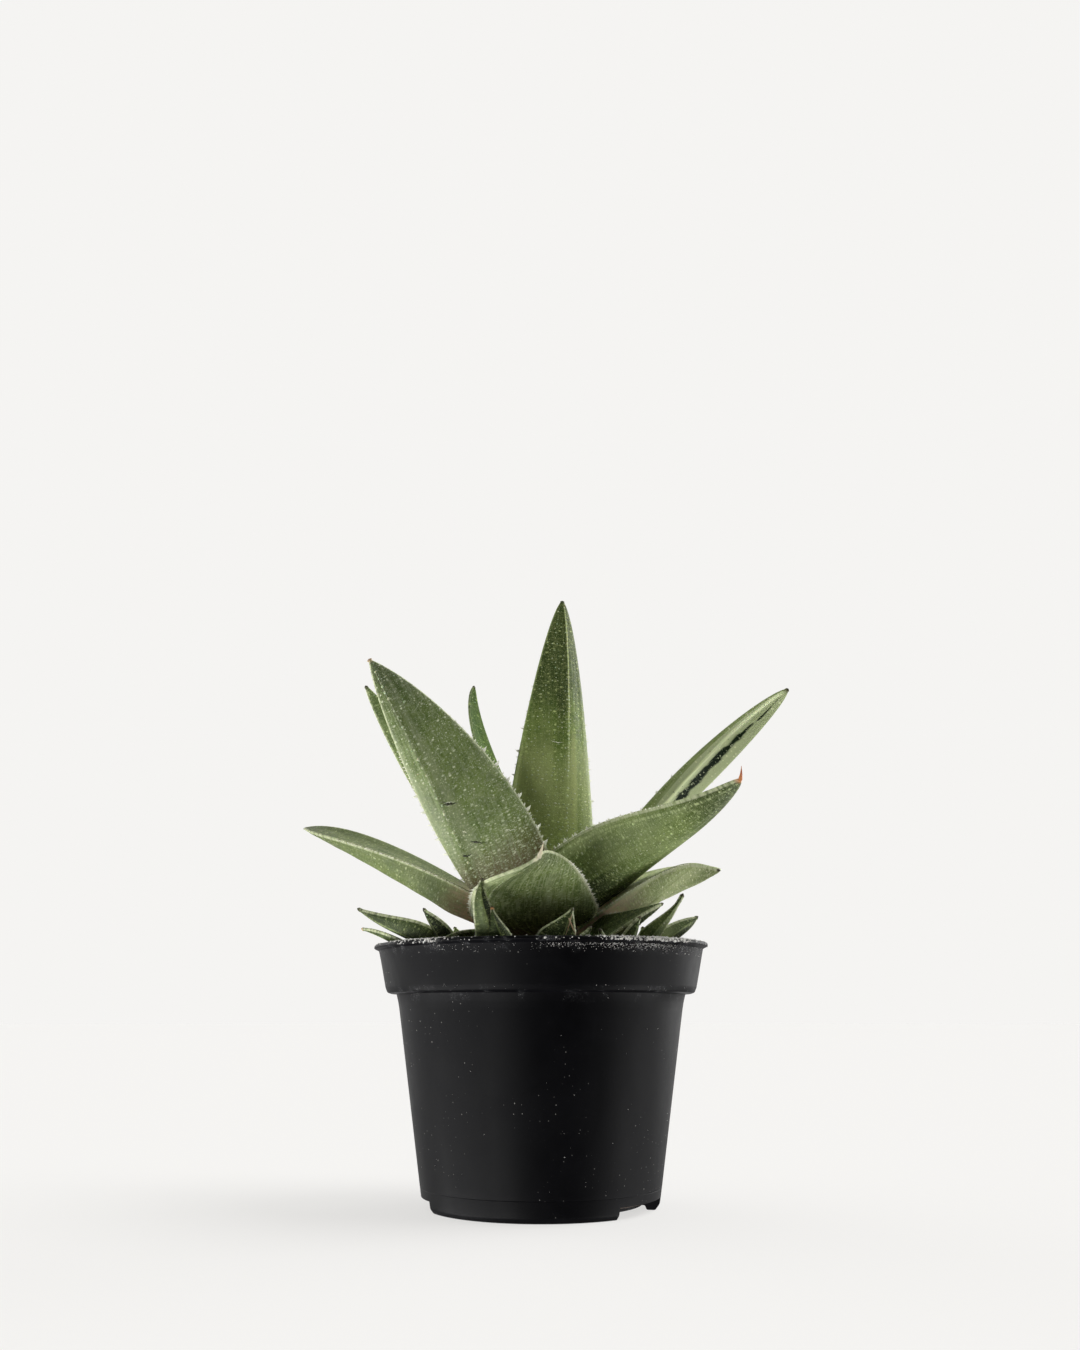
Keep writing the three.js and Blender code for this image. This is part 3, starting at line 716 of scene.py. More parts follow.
def add_teeth(skin, spec, seed, rng):
    draw = tooth_random(seed)
    fine = spec["fine_teeth"]
    planned = []
    for edge in (-1, 1):
        for i in range(spec["teeth"]):
            t = TOOTH_FROM + TOOTH_STRETCH * (i + 0.3 * draw()) / spec["teeth"]
            size = 0.8 + 0.35 * draw() - 0.25 * (t - TOOTH_FROM)
            size *= spec["tooth_gain"]
            planned.append((t, edge, TOOTH_HEIGHT * size, TOOTH_LENGTH * size, rng.uniform(0.8, 1.0)))
        for i in range(fine):
            t = 0.10 + 0.62 * ((i + rng.uniform(0, 0.9)) / fine) ** 1.15
            tall = 0.35 + rng.uniform(0.1, 1.0) * (1.15 - 0.9 * t)
            planned.append((t, edge, tall, rng.uniform(0.55, 1.05), rng.uniform(0.6, 1.0)))
    for tooth_plan in planned:
        add_tooth(skin, spec, *tooth_plan)


GREENS = {
    # deep, fresh, pale, root
    "mid": (srgb(86, 105, 50), srgb(120, 139, 74), srgb(178, 190, 136), srgb(116, 96, 74)),
    "bright": (srgb(80, 102, 42), srgb(118, 140, 64), srgb(182, 196, 138), srgb(108, 110, 60)),
    "grey": (srgb(112, 126, 78), srgb(142, 154, 100), srgb(190, 198, 152), srgb(178, 150, 128)),
    "dark": (srgb(42, 56, 26), srgb(68, 85, 40), srgb(128, 140, 94), srgb(66, 54, 38)),
    "olive": (srgb(104, 124, 64), srgb(136, 153, 84), srgb(188, 200, 144), srgb(178, 150, 128)),
    "vivid": (srgb(58, 88, 26), srgb(84, 112, 44), srgb(150, 170, 96), srgb(74, 90, 40)),
    "cream": (srgb(108, 126, 68), srgb(147, 161, 104), srgb(198, 206, 164), srgb(120, 116, 76)),
}

# A shade is (middle, reach, start, end, amount): v across, then t along; it paints light (above 0) or shade
# (below 0) on the underside, along with some of the leaf's own tone. A stripe stop is (t, middle, half
# width). A scar is (half width, material, path of (t, v) places).
LEAVES = [
    dict(name="leaf_centre_tall",
         path=[(1.2, -1, 90), (2.7, -8.7, 122.4), (5.5, 0, 162), (6.9, -2.5, 192.5)],
         up=(-0.23, 0.93, 0.29), width=33, thick=7.2, keel=-0.25, full=1.3, taper=0.69, neck=0.59,
         neck_end=0.14, twist=9, spike=0.3, stout=1.1, green="bright", stripes=0.15, gain=0.89, dots=1.3,
         keel_tint=1.0, edge_tint=0.1, cross=0.3,
         painted_light_and_tone_bands=[(-0.58, 0.48, 0.05, 1.1, 0.15), (0.2, 0.12, 0.3, 0.99, -0.4),
             (-0.58, 0.48, -0.2, 0.9, 0.22), (0, 1.2, 0.45, 1.2, -0.9), (0.4, 0.7, -0.2, 0.8, 0.55)],
         pale_colour=srgb(168, 178, 116), dry=(srgb(52, 60, 36), srgb(44, 46, 30)),
         scars=[(0.2, TOOTH, [(0.533, 0.41), (0.529, 0.275), (0.533, 0.137)])]),
    dict(name="leaf_heart", path=[(-1, 2, 91), (-2, 5, 102), (0, 7, 114), (2, 7, 124)], up=(0.3, -0.9, 0),
         width=14, thick=4, teeth=4, green="bright"),
    dict(name="leaf_left_tall",
         path=[(0, -5, 87), (-12.2, -13.1, 109.8), (-32.5, -23.1, 143.3), (-52.9, -18.1, 169.1)],
         up=(0.53, 0.34, -0.78), width=31.2, thick=6, keel=0.57, full=2.5, taper=0.86, neck=0.57,
         neck_end=0.2, twist=3, spike=0.6, teeth=9, green="mid", gain=0.95, blush=36,
         root_strength=1.0, edge_tint=0.9, keel_dots=(0.45, 2.7), fine_teeth=60,
         root_colour=srgb(98, 70, 54), tooth_gain=1.35, dry=(srgb(170, 140, 110), srgb(120, 92, 70)),
         painted_light_and_tone_bands=[(1.0, 0.12, 0.05, 1.1, 0.2), (0.95, 0.22, 0.05, 1.1, 0.12), (0.85, 0.34, 0.05, 0.9, 0.1),
             (-0.3, 0.75, 0.7, 1.1, -0.25)], pale_colour=srgb(184, 188, 160), dots=1.25, stout=1.5,
         frost=0.7,
         scars=[(0.5, CRACK, [(0.521, -0.04), (0.504, -0.14), (0.496, -0.25)]),
             (0.5, CRACK, [(0.379, -0.16), (0.362, -0.29)]), (0.3, CRACK, [(0.372, -0.2), (0.352, -0.36)]),
             (0.55, CRACK, [(0.354, 0.075), (0.342, -0.11)]),
             (0.34, CRACK, [(0.515, 0.02), (0.507, -0.1), (0.499, -0.2)]),
             (0.2, TOOTH, [(0.516, -0.06), (0.504, -0.21)]),
             (0.5, TOOTH, [(0.417, -0.125), (0.408, -0.175)]),
             (0.16, TOOTH, [(0.358, -0.65), (0.342, -0.80)]),
             (0.13, FLECK, [(0.787, -0.46), (0.808, -0.89)])]),
    dict(name="leaf_right_broad",
         path=[(2, -4, 91.5), (18.4, -9.8, 116.5), (38.8, -17.4, 114.7), (58.8, -32.8, 129.3)],
         up=(-0.19, 0.8, 0.57), width=28.2, thick=12.1, keel=0.2, full=2.4, taper=0.5, neck_end=0.16,
         twist=37.5, crisp=0.3, spike=1.5, hook=(-0.6, 0, 3.2), teeth=9, green="mid",
         stripes=0.25, inner_line=2.2, fine_teeth=50, bumpy=0.5, gain=1.03, keel_tint=0.0, keel_dots=(0, 0),
         edge_tint=0.9, edge_wide=0.7, cross=0.4, stout=1.5, dry=(srgb(214, 138, 86), srgb(176, 98, 64)),
         painted_light_and_tone_bands=[(0, 1.2, 0.1, 0.95, 0.3), (-0.4, 0.6, -0.2, 0.62, -1.1), (0.6, 0.35, -0.2, 0.4, -0.3),
             (0, 1.2, 0.66, 1.2, -1.0)]),
    dict(name="leaf_back_inner",
         path=[(0, 3, 90), (-2.7, 15.4, 117.8), (-26.1, 33.2, 155.7), (-23.5, 38.1, 174.6)],
         up=(0.84, -0.54, 0.04), width=15.7, thick=4.6, keel=0.25, full=1.7, taper=0.61, neck=0.47,
         spike=0.6, green="vivid", frost=0.2, dots=0.5, shine=0.03, gain=0.75),
    dict(name="leaf_back_left",
         path=[(-2, 2, 90), (-19.8, 9, 110.4), (-38.9, 31.2, 139.5), (-60.1, 28.5, 172.3)],
         up=(0.45, -0.8, 0.4), width=17.7, thick=4.6, keel=0.33, full=2.3, taper=0.71, neck=0.74, twist=-10,
         spike=0.6, green="bright", gain=1.3, edge_tint=0.9),
    dict(name="leaf_right_slender",
         path=[(3, 2, 90), (25.1, 13.4, 112.7), (56.5, 23.2, 145.5), (79.1, -1.8, 163.9)],
         up=(0.4, 0.28, 0.87), width=13.9, thick=4.5, keel=0.6, taper=0.63, neck=0.71, twist=-18,
         spike=0.5, green="cream", stripes=0.3, gain=1.12, keel_tint=1.0, edge_tint=0.15, keel_wide=2.2,
         painted_light_and_tone_bands=[(-0.6, 0.55, 0.05, 1.3, 0.55), (0.3, 0.4, 0.05, 1.1, 0.65), (1.0, 0.02, 0.5, 1.1, -1.2)],
         shine=0.05, pale_colour=srgb(212, 221, 178), dots=0.5, keel_dots=(0, 0), spotted=0.7, speckle=0.1,
         glow=0.05, bumpy=0.12, keel_solid=0.9, tip_dark=0.2, frost=0.3, cross=0.1,
         stripe_colour=srgb(18, 32, 14),
         stripe=[(0.1, -0.38, 0.15), (0.5, -0.38, 0.17), (0.72, -0.36, 0.15), (0.85, -0.40, 0.08),
             (0.865, -0.44, 0), (0.885, -0.5, 0.07), (0.92, -0.5, 0.055), (0.935, -0.47, 0.03),
             (0.96, -0.45, 0.04), (0.98, -0.45, 0)]),
    dict(name="leaf_front",
         path=[(-2, -2, 84), (-0.6, -25.8, 96.7), (-8.9, -42, 100.4), (-0.7, -49.3, 104.5)],
         up=(0.03, -0.19, 0.98), width=40.8, thick=4, keel=0.75, full=1.4, taper=0.45, neck=0.61, twist=23,
         crisp=0.5, spike=1.4, hook=(0.4, 0, 3.4), stout=1.7, teeth=10, green="mid", stripes=0.3,
         keel_tint=0.8, edge_tint=0.9, edge_wide=0.45, cross=0.35, frost=1.5, streaky=0.5, fine_teeth=60,
         dry=(srgb(238, 228, 200), srgb(226, 212, 184)), pale_colour=srgb(178, 188, 144),
         painted_light_and_tone_bands=[(0.72, 0.3, 0.3, 1.1, 0.45), (0, 1.2, -0.3, 0.5, -0.6)]),
    dict(name="leaf_left_low",
         path=[(-2, -2, 86), (-34.2, 2.2, 109.9), (-64.6, -2.3, 118.9), (-79.2, 22, 122.4)],
         up=(0.07, -0.02, 1), width=13, thick=9.7, keel=-0.05, taper=0.78, neck=0.51, twist=-32,
         spike=0.5, teeth=9, green="olive", gain=0.60, blush=34, edge_tint=0.8, edge_wide=0.4,
         # the pale root colour is the base's own pinkish brown, made paler as painted light where the base
         # lies in shade
         cross=0.6, keel_tint=0.1, keel_dots=(0, 0), root_colour=srgb(236, 200, 168), fine_teeth=60,
         root_strength=1.0),
    dict(name="leaf_right_low",
         path=[(2, -4, 84), (35, -3.8, 110.1), (50.4, -7.1, 107.9), (55, -13.2, 104.5)],
         up=(-0.15, -0.37, 0.92), width=22.1, thick=10.5, keel=-0.1, full=3.15, taper=0.8, neck=0.85,
         twist=-28, spike=0.6, green="grey", stripes=0.35, gain=1.5, blush=38, edge_tint=1.0, edge_wide=0.8,
         # the pale pink root colour is the base's own blush, made paler as painted light where the base lies
         # in shade
         cross=0.6, keel_tint=0.1, keel_dots=(0, 0), root_colour=srgb(255, 226, 206), root_strength=1.0,
         fine_teeth=60, painted_light_and_tone_bands=[(0, 1.2, -0.2, 0.42, 0.3)]),
    dict(name="leaf_back_low", path=[(1, 3, 84), (3, 20, 89), (5, 40, 95), (5, 50.5, 105)], up=(0, -0.6, 1),
         width=30, thick=8, spike=0.6, green="mid", stripes=0.5),
    dict(name="leaf_back_right", path=[(4, 3, 85), (13, 20, 91), (24, 38, 104), (30, 46, 116.5)],
         up=(-0.2, -0.5, 1), width=18, thick=6, teeth=5, green="mid"),
    dict(name="leaf_back_short", path=[(-3, 3, 85), (-8.5, 20, 91), (-17, 38, 102), (-23, 47, 112.5)],
         up=(0.2, -0.5, 1), width=17, thick=6, teeth=5, green="mid"),
    dict(name="leaf_right_dark",
         path=[(3, -5, 83.8), (16.4, -17.6, 81.8), (19.4, -27.6, 87.2), (36.2, -24.9, 93.1)],
         up=(-0.73, -0.19, 0.66), width=19.1, thick=8.6, keel=-0.08, full=2.3, taper=0.72, neck=0.58,
         twist=3, spike=0.6, green="dark", dots=1.6, frost=1.6, cross=0.5, edge_tint=0.9, edge_wide=0.5),
]

fleck = speck_material("leaf_flecks", srgb(142, 156, 112), srgb(212, 218, 176))
tooth = speck_material("leaf_teeth", srgb(226, 230, 192), srgb(252, 252, 236), 0.0)
crack = speck_material("leaf_cracks", srgb(34, 38, 24), srgb(62, 62, 42))


def leaf_tint(spec):
    """Deep, fresh, pale and root colours of a leaf."""
    deep, fresh, pale, root = GREENS[spec["green"]]
    deep, fresh, pale = (scaled(colour, spec["gain"]) for colour in (deep, fresh, pale))
    return deep, fresh, spec.get("pale_colour", pale), spec.get("root_colour", root)


def dress_leaf(index, entry):
    spec = {**LEAF_DEFAULTS, **entry}
    name = spec["name"]
    green = leaf_material(name + "_green", leaf_tint(spec), **{k: spec[k] for k in LOOK if k in spec})
    seed = LEAF_SEED + index * 101
    rng = np.random.default_rng(seed)
    skin = Skin()
    leaf = leaf_skin(skin, spec, seed)
    add_flecks(skin, leaf, rng, spec["dots"], spec["keel_dots"])
    add_teeth(skin, spec, seed, rng)
    for wide, mark, path in spec["scars"]:
        add_scar(skin, leaf, path, wide, mark, rng)
    skin.piece(name + "_dressed", [green, fleck, tooth, crack], [name])


for index, entry in enumerate(LEAVES):
    dress_leaf(index, entry)

# Young offsets: name, place of the foot and small leaves
OFFSET_DEFAULTS = dict(
    LEAF_DEFAULTS, full=2.2, neck=0.85, neck_end=0.3, channel=0.25, sharp_from=0.1, sharp_to=0.6,
    thin_root=0.9, spike=0.8,
)

# The shades of the offsets' leaves paint shade on some whole leaves and on shaded facets, and light on lit
# facets, with some of their own tone.
OFFSETS = [
    ("offset_left", (-30, -22), [
        dict(path=[(-30, -22, 76), (-32.7, -19.1, 86.9), (-42, -17.6, 84.7), (-55.9, -14.1, 92.2)],
             up=(0.17, 0.66, 0.73), width=11, thick=4.1, full=2, taper=0.81,
             painted_light_and_tone_bands=[(0, 1.2, -0.2, 1.2, -0.45)]),
        dict(path=[(-30, -22, 76), (-38.3, -17, 80.5), (-48, -12, 85.6), (-55.4, -8.1, 86.6)],
             up=(0.42, 0.07, 0.91), width=6.8, thick=2.2, rust=0.7),
        dict(path=[(-29, -23, 76), (-25.9, -26, 84), (-31.6, -26.3, 86.6), (-34.8, -25.9, 91.1)],
             up=(0.42, 0.66, 0.63), width=8.3, thick=2.9, full=2, painted_light_and_tone_bands=[(0, 1.2, -0.2, 1.2, -1.0)]),
        dict(path=[(-29, -22, 76), (-28, -24.5, 84.1), (-22.5, -29.5, 85.2), (-15.5, -34, 84.6)],
             up=(0.2, -0.2, 1), width=8, thick=3),
    ]),
    ("offset_front_left", (-15, -39.5), [
        dict(path=[(-16, -39.5, 76), (-13.4, -42.4, 85.4), (-18.9, -44.5, 90.2), (-16.9, -44, 98.1)],
             up=(0.05, 0.99, -0.16), width=6.8, thick=2.4, keel=-0.22, taper=0.76, twist=5,
             painted_light_and_tone_bands=[(-0.6, 0.56, -0.2, 1.2, -0.9), (0.5, 0.46, -0.2, 1.2, 0.2)]),
        dict(path=[(-14, -40, 76.7), (-10.1, -42.5, 81.2), (-13.5, -44.1, 82), (-14, -43.9, 90)],
             up=(0, 0.99, 0.14), width=9.2, thick=2.7, keel=-0.33, rust=1,
             painted_light_and_tone_bands=[(-0.6, 0.56, -0.2, 1.2, -0.6)]),
    ]),
    ("offset_front", (4, -41.5), [
        dict(path=[(4, -41, 76), (4.4, -44.4, 82.6), (4.9, -43.9, 80.1), (8.8, -45, 89.7)],
             up=(0, 0.94, 0.33), width=13, thick=2.6, keel=-0.14, full=2.7, taper=0.93, twist=-6,
             painted_light_and_tone_bands=[(0, 1.2, -0.2, 1.2, -0.6)]),
        dict(path=[(5, -41.5, 76), (8, -42.5, 77), (11.5, -43, 81), (14, -43, 84.5)], up=(-0.4, 0.7, 0.5),
             width=5, thick=2),
    ]),
    ("offset_front_right", (23, -34), [
        dict(path=[(23, -34, 76), (23.5, -35.5, 79), (26.5, -37, 84.5), (28.4, -37.6, 87.8)],
             up=(-0.4, 0.7, 0.4), width=6, thick=2.2),
        dict(path=[(22.5, -34, 76), (20, -37, 77.5), (18, -39.5, 81), (17, -41, 84)], up=(0.4, 0.6, 0.6),
             width=5, thick=2),
    ]),
    ("offset_right", (32, -18), [
        dict(path=[(31, -19, 76), (30.3, -20.8, 85.3), (38.3, -18.6, 86.9), (42.8, -20.2, 95.9)],
             up=(-0.07, 0.94, 0.34), width=8, thick=3.2, full=1.33, taper=1.13, twist=-15,
             painted_light_and_tone_bands=[(0, 1.2, 0.3, 1.2, 0.4)]),
        dict(path=[(32, -17, 76), (36, -16.5, 84.7), (42.4, -13.6, 85.4), (48, -12.2, 89.8)],
             up=(-0.49, 0.7, 0.52), width=6.7, thick=2.8, keel=0.26, full=3.25, taper=0.74, twist=-13,
             painted_light_and_tone_bands=[(-0.7, 0.5, -0.2, 1.2, -0.8), (0.6, 0.5, -0.2, 0.8, 0.6)]),
        dict(path=[(32, -17, 76), (32.5, -12, 80), (32, -8, 83.5), (32, -5, 87)], up=(0, -0.7, 0.7),
             width=6, thick=2.2),
    ]),
    ("offset_back", (-26, 30), [
        dict(path=[(-26, 30, 76), (-32, 33, 81), (-38, 33, 86), (-42, 32, 89)], up=(0.4, -0.2, 0.9),
             width=8, thick=2.6),
        dict(path=[(-26, 30, 76), (-27, 35, 81), (-28, 39, 86), (-30, 42, 90)], up=(0.1, -0.6, 0.7),
             width=8, thick=2.6),
    ]),
]

# Dry fibres that hang on the front offset: start, bend and end of each
THREADS = {
    "offset_front": [
        [(9.0, -44.8, 89.6), (8.3, -46.2, 86.0), (6.9, -46.6, 82.3)],
        [(7.9, -45.6, 87.2), (8.8, -46.6, 84.6), (9.9, -46.8, 82.4)],
    ],
}

offset_green = leaf_material(
    "offset_green", (srgb(48, 64, 28), srgb(80, 98, 48), srgb(136, 148, 96), srgb(124, 116, 76)),
    stripes=0.15, gloss=0.48, blush=5.0, edge_tint=0.95, edge_wide=0.4, keel_tint=0.7, spotted=0.9,
    frost=0.9, cross=0.4, streaky=0.0,
)
dry_fibre = speck_material("dry_fibres", srgb(150, 128, 96), srgb(186, 164, 128))


def add_post(skin, x, y, seed):
    """The upright foot of an offset, from inside the mix to the roots of its leaves."""
    rows, around = 10, 28
    z = np.linspace(68, 77, rows)[:, None]
    a = turns(around)
    r = 2.6 * (1 + 0.05 * waves(a[None] / 2, z / 8, seed))
    points = np.stack(np.broadcast_arrays(x + r * np.cos(a), y + r * np.sin(a), z), -1)
    values = dict(along=1.0, across=2.0, reach=0.05, seed=float(seed % 89))
    skin.add(points, tube_faces(rows, around), SKIN, **values)


def dress_offset(index, name, foot, leaves):
    skin = Skin()
    add_post(skin, *foot, 300 + index)
    for number, entry in enumerate(leaves):
        spec = {**OFFSET_DEFAULTS, **entry}
        seed = OFFSET_SEED + index * 53 + number * 7
        rng = np.random.default_rng(seed)
        leaf = leaf_skin(skin, spec, seed, rings=49, upper_count=11, under_count=21)
        add_flecks(skin, leaf, rng, 0.3, (0, 0))
        for edge in (-1, 1):
            for i in range(9):
                t = 0.25 + 0.55 * (i + rng.random()) / 9
                add_tooth(skin, spec, t, edge, rng.uniform(0.3, 0.5), 0.4, rng.uniform(0.3, 0.9))
    for path in THREADS.get(name, ()):
        add_thread(skin, path, 0.22, CRACK)
    skin.piece(name + "_dressed", [offset_green, fleck, tooth, dry_fibre], [name])


for index, offset in enumerate(OFFSETS):
    dress_offset(index, *offset)


# Pot
def pot_material():
    m = Material("pot_plastic")
    where = m.place()
    parts = m.parts(where)
    angle = m.math("ARCTAN2", parts["X"], m.times(parts["Y"], -1.0))
    round_mm = m.times(angle, 50.0)
    height_mm = m.times(parts["Z"], 1000.0)
    peel = m.noise(where, 900, 4, 0.6)
    cloud = m.noise(where, 45, 5, 0.65, 0.6)
    smear = m.noise(m.vector(parts["X"], parts["Y"], m.times(parts["Z"], 0.25)), 120, 5, 0.7)
    drift = m.noise(where, 130, 4, 0.7, 0.8)
    # pale dirt near the lip and under the collar
    near_lip = m.ramp(height_mm, 76.5, 81.0, 0.0, 1.0)
    under_collar = m.times(m.ramp(height_mm, 62.5, 66.0), m.ramp(height_mm, 67.0, 69.0, 1.0, 0.0))
    patches = m.times(near_lip, m.ramp(drift, 0.46, 0.62))
    patches = m.plus(patches, m.times(under_collar, m.ramp(drift, 0.52, 0.66, 0.0, 0.5)))
    flecks = m.times(m.spots(m.times(round_mm, 0.75), height_mm, 2.3, 0.02, 0.36), patches)
    film = m.times(m.ramp(m.noise(where, 1100, 5, 0.8), 0.42, 0.72), m.times(patches, 0.8))
    stray = m.times(m.spots(round_mm, height_mm, 0.34, 0.0, 0.085), m.ramp(cloud, 0.50, 0.60))
    m.colour = m.mix(m.ramp(cloud, 0.3, 0.75), srgb(5, 5, 7), srgb(10, 10, 13))
    m.over(m.ramp(smear, 0.55, 0.8, 0.0, 0.25), srgb(26, 27, 30))
    m.over(film, srgb(96, 97, 100))
    m.over(m.times(flecks, 0.85), srgb(176, 175, 172))
    m.over(m.times(stray, 0.8), srgb(180, 178, 172))
    worn = m.plus(m.times(cloud, 0.6), m.times(smear, 0.4))
    relief = m.bump(peel, 0.10, 0.00008)
    relief = m.bump(flecks, 0.4, 0.0002, relief)
    return m.finish(
        Roughness=m.ramp(worn, 0.3, 0.7, 0.42, 0.56), Specular_IOR_Level=0.082, Normal=relief,
    )


def rounded(profile, radius, steps):
    """The closed profile with each corner cut by a short arc."""
    result = []
    n = len(profile)
    for i in range(n):
        a, b, c = (np.array(profile[(i + k) % n], float) for k in (-1, 0, 1))
        r = min(radius, np.linalg.norm(a - b) * 0.4, np.linalg.norm(c - b) * 0.4)
        start, end = b + unit(a - b) * r, b + unit(c - b) * r
        for k in range(steps + 1):
            w = k / steps
            result.append(tuple((1 - w) ** 2 * start + 2 * w * (1 - w) * b + w * w * end))
    return result


def subdivided(profile, longest):
    """The closed profile with points added on its longer lines."""
    result = []
    for (r0, z0), (r1, z1) in zip(profile, profile[1:] + profile[:1]):
        n = max(1, int(math.hypot(r1 - r0, z1 - z0) / longest))
        result += [(r0 + (r1 - r0) * k / n, z0 + (z1 - z0) * k / n) for k in range(n)]
    return result


# Radius and height round the section of the wall: outside going up, then inside going down
POT_PROFILE = [
    (33.3, 0), (35.9, 0), (37.1, 1.6), (37.4, 3.5), (37.79, 6.55), (37.74, 6.7), (37.84, 6.85),
    (44.6, 61.9), (44.9, 63.8), (45.5, 66.5), (46.9, 66.3), (48.3, 66.8), (48.9, 68.3),
    (50.4, 77), (51.0, 80.2), (52.5, 80.9), (52.4, 81.7), (51.9, 82),
    (49.8, 82), (49.2, 77), (47.7, 68.3), (44.3, 67.9), (43.4, 61.9), (36.2, 3.6), (35.1, 2.6),
    (20, 2.6), (0.6, 2.6), (0.6, 1.4), (20, 1.4), (32.7, 1.4),
]


def cut_slot(pot, centre):
    """Takes one drainage slot out of the pot's lower edge."""
    a = np.radians(np.linspace(centre - SLOT_SWEEP / 2, centre + SLOT_SWEEP / 2, SLOT_STEPS) - 90)
    section = [(SLOT_INNER, -1), (SLOT_OUTER, -1), (SLOT_OUTER, SLOT_HEIGHT), (SLOT_INNER, SLOT_HEIGHT)]
    block = np.array([(r * np.cos(x), r * np.sin(x), z) for x in a for r, z in section])
    mesh = new_mesh("slot_room", (block * MM).tolist(), tube_faces(SLOT_STEPS, 4, flip=True))
    room = new_object("slot_room", mesh)
    cut = pot.modifiers.new("slot", "BOOLEAN")
    cut.object = room
    cut.operation = "DIFFERENCE"
    cut.solver = "EXACT"
    bpy.context.view_layer.update()
    shape = bpy.data.meshes.new_from_object(pot.evaluated_get(bpy.context.evaluated_depsgraph_get()))
    pot.modifiers.remove(cut)
    pot.data = shape
    bpy.data.objects.remove(room)


def make_pot():
    profile = subdivided(rounded(POT_PROFILE, 0.45, 4), 2.2)[::-1]
    around = 240
    a = turns(around)
    r, z = np.array(profile).T[..., None]
    # moulded plastic is never quite round or level at its lip
    sway = smooth((z - 55) / 27) * (0.16 * np.sin(2 * a + 0.6) + 0.08 * np.sin(5 * a + 2.0))
    lift = smooth((z - 74) / 8) * (0.12 * np.sin(3 * a + 1.1) + LIP_TILT * np.cos(a))
    points = np.stack([(r + sway) * np.cos(a), (r + sway) * np.sin(a), z + lift], -1)
    last = (len(profile) - 1) * around
    closing = [[last + j, last + (j + 1) % around, (j + 1) % around, j] for j in range(around)]
    skin = Skin()
    skin.add(points, grid_faces(len(profile), around) + closing)
    pot = skin.piece("pot_dressed", [pot_material()], ["pot"])
    for centre in SLOT_CENTRES:
        cut_slot(pot, centre)
    pot.data.set_sharp_from_angle(angle=math.radians(35))


make_pot()


# Potting mix
def mix_material(name, dark, light, scale=700):
    m = Material(name)
    where = m.place()
    lumps = m.noise(where, scale, 6, 0.75, 0.5)
    tone = m.noise(where, scale * 0.2, 3, 0.6)
    m.colour = m.mix(m.ramp(lumps, 0.35, 0.7), dark, light)
    m.over(m.ramp(tone, 0.45, 0.7, 0.0, 0.5), scaled(dark, 0.5))
    relief = m.bump(lumps, 0.8, 0.0006)
    return m.finish(Roughness=m.ramp(lumps, 0.3, 0.8, 0.8, 0.98), Normal=relief)


peat = mix_material("mix_peat", srgb(42, 31, 24), srgb(84, 65, 50))
bark = mix_material("mix_bark", srgb(70, 46, 30), srgb(128, 92, 62), 450)
grit = mix_material("mix_grit", srgb(168, 160, 146), srgb(226, 220, 208), 500)
pale_dust = mix_material("pale_dust", srgb(206, 204, 198), srgb(250, 249, 244), 300)


def mix_height(x, y):
    """Height of the mix's uneven top."""
    r = np.hypot(x, y)
    dome = 73.4 + 1.2 * smooth((48 - r) / 22)
    return dome + 0.45 * waves(x / 14, y / 14, 61) + 0.22 * waves(x / 5, y / 5, 62, 9) - 0.35


# Radius and height of the mix below its top, from the rim down to the pot's floor
MIX_SIDE = (
    (48.1, 72.5), (47.0, 69.4), (43.9, 68.4), (43.1, 61.9), (39.0, 30), (36.0, 4.0), (34.4, 2.9),
    (18, 2.9), (0.4, 2.9),
)


def make_mix():
    around = 160
    a = turns(around)
    rows = []
    for r in np.linspace(0.4, 48.0, 56):
        x, y = r * np.cos(a), r * np.sin(a)
        rows.append(np.stack([x, y, mix_height(x, y)], -1))
    for r, z in MIX_SIDE:
        rows.append(np.stack([r * np.cos(a), r * np.sin(a), np.full(around, z)], -1))
    skin = Skin()
    skin.add(np.array(rows), tube_faces(len(rows), around, flip=True))
    skin.piece("mix_dressed", [peat], ["soil"])


# A lump's points: top, upper ring of five, lower ring of five and bottom
LUMP_POINTS = np.array([
    (0, 0, 1),
    (0.9, 0, 0.45), (0.28, 0.86, 0.45), (-0.73, 0.53, 0.45), (-0.73, -0.53, 0.45), (0.28, -0.86, 0.45),
    (0.73, 0.53, -0.45), (-0.28, 0.86, -0.45), (-0.9, 0, -0.45), (-0.28, -0.86, -0.45), (0.73, -0.53, -0.45),
    (0, 0, -1),
])
LUMP_SIDES = [(k, (k + 1) % 5) for k in range(5)]
LUMP_FACES = (
    [[0, 1 + k, 1 + n] for k, n in LUMP_SIDES]
    + [face for k, n in LUMP_SIDES for face in ([1 + k, 6 + k, 1 + n], [1 + n, 6 + k, 6 + n])]
    + [[6 + k, 11, 6 + n] for k, n in LUMP_SIDES]
)


def add_lump(skin, centre, size, rng, mark=0, flat=1.0):
    """One irregular crumb with a few facets."""
    shape = LUMP_POINTS * rng.uniform(0.7, 1.25, (12, 1))
    shape = shape * (size * rng.uniform(0.7, 1.3, 3) * np.array([1, 1, flat]))
    a, b = rng.uniform(0, NEAR_TURN), rng.uniform(-0.6, 0.6)
    turn = np.array([[np.cos(a), -np.sin(a), 0], [np.sin(a), np.cos(a), 0], [0, 0, 1]])
    tip = np.array([[np.cos(b), 0, np.sin(b)], [0, 1, 0], [-np.sin(b), 0, np.cos(b)]])
    skin.add(shape @ tip @ turn + centre, LUMP_FACES, mark)


def dirt_angle(rng, stretches):
    """A place near one of the dirty stretches, in radians round from +X."""
    return math.radians(rng.choice(stretches) + rng.normal(0, 5)) - math.pi / 2


def place_round(r, a, z):
    return np.array([r * math.cos(a), r * math.sin(a), z])


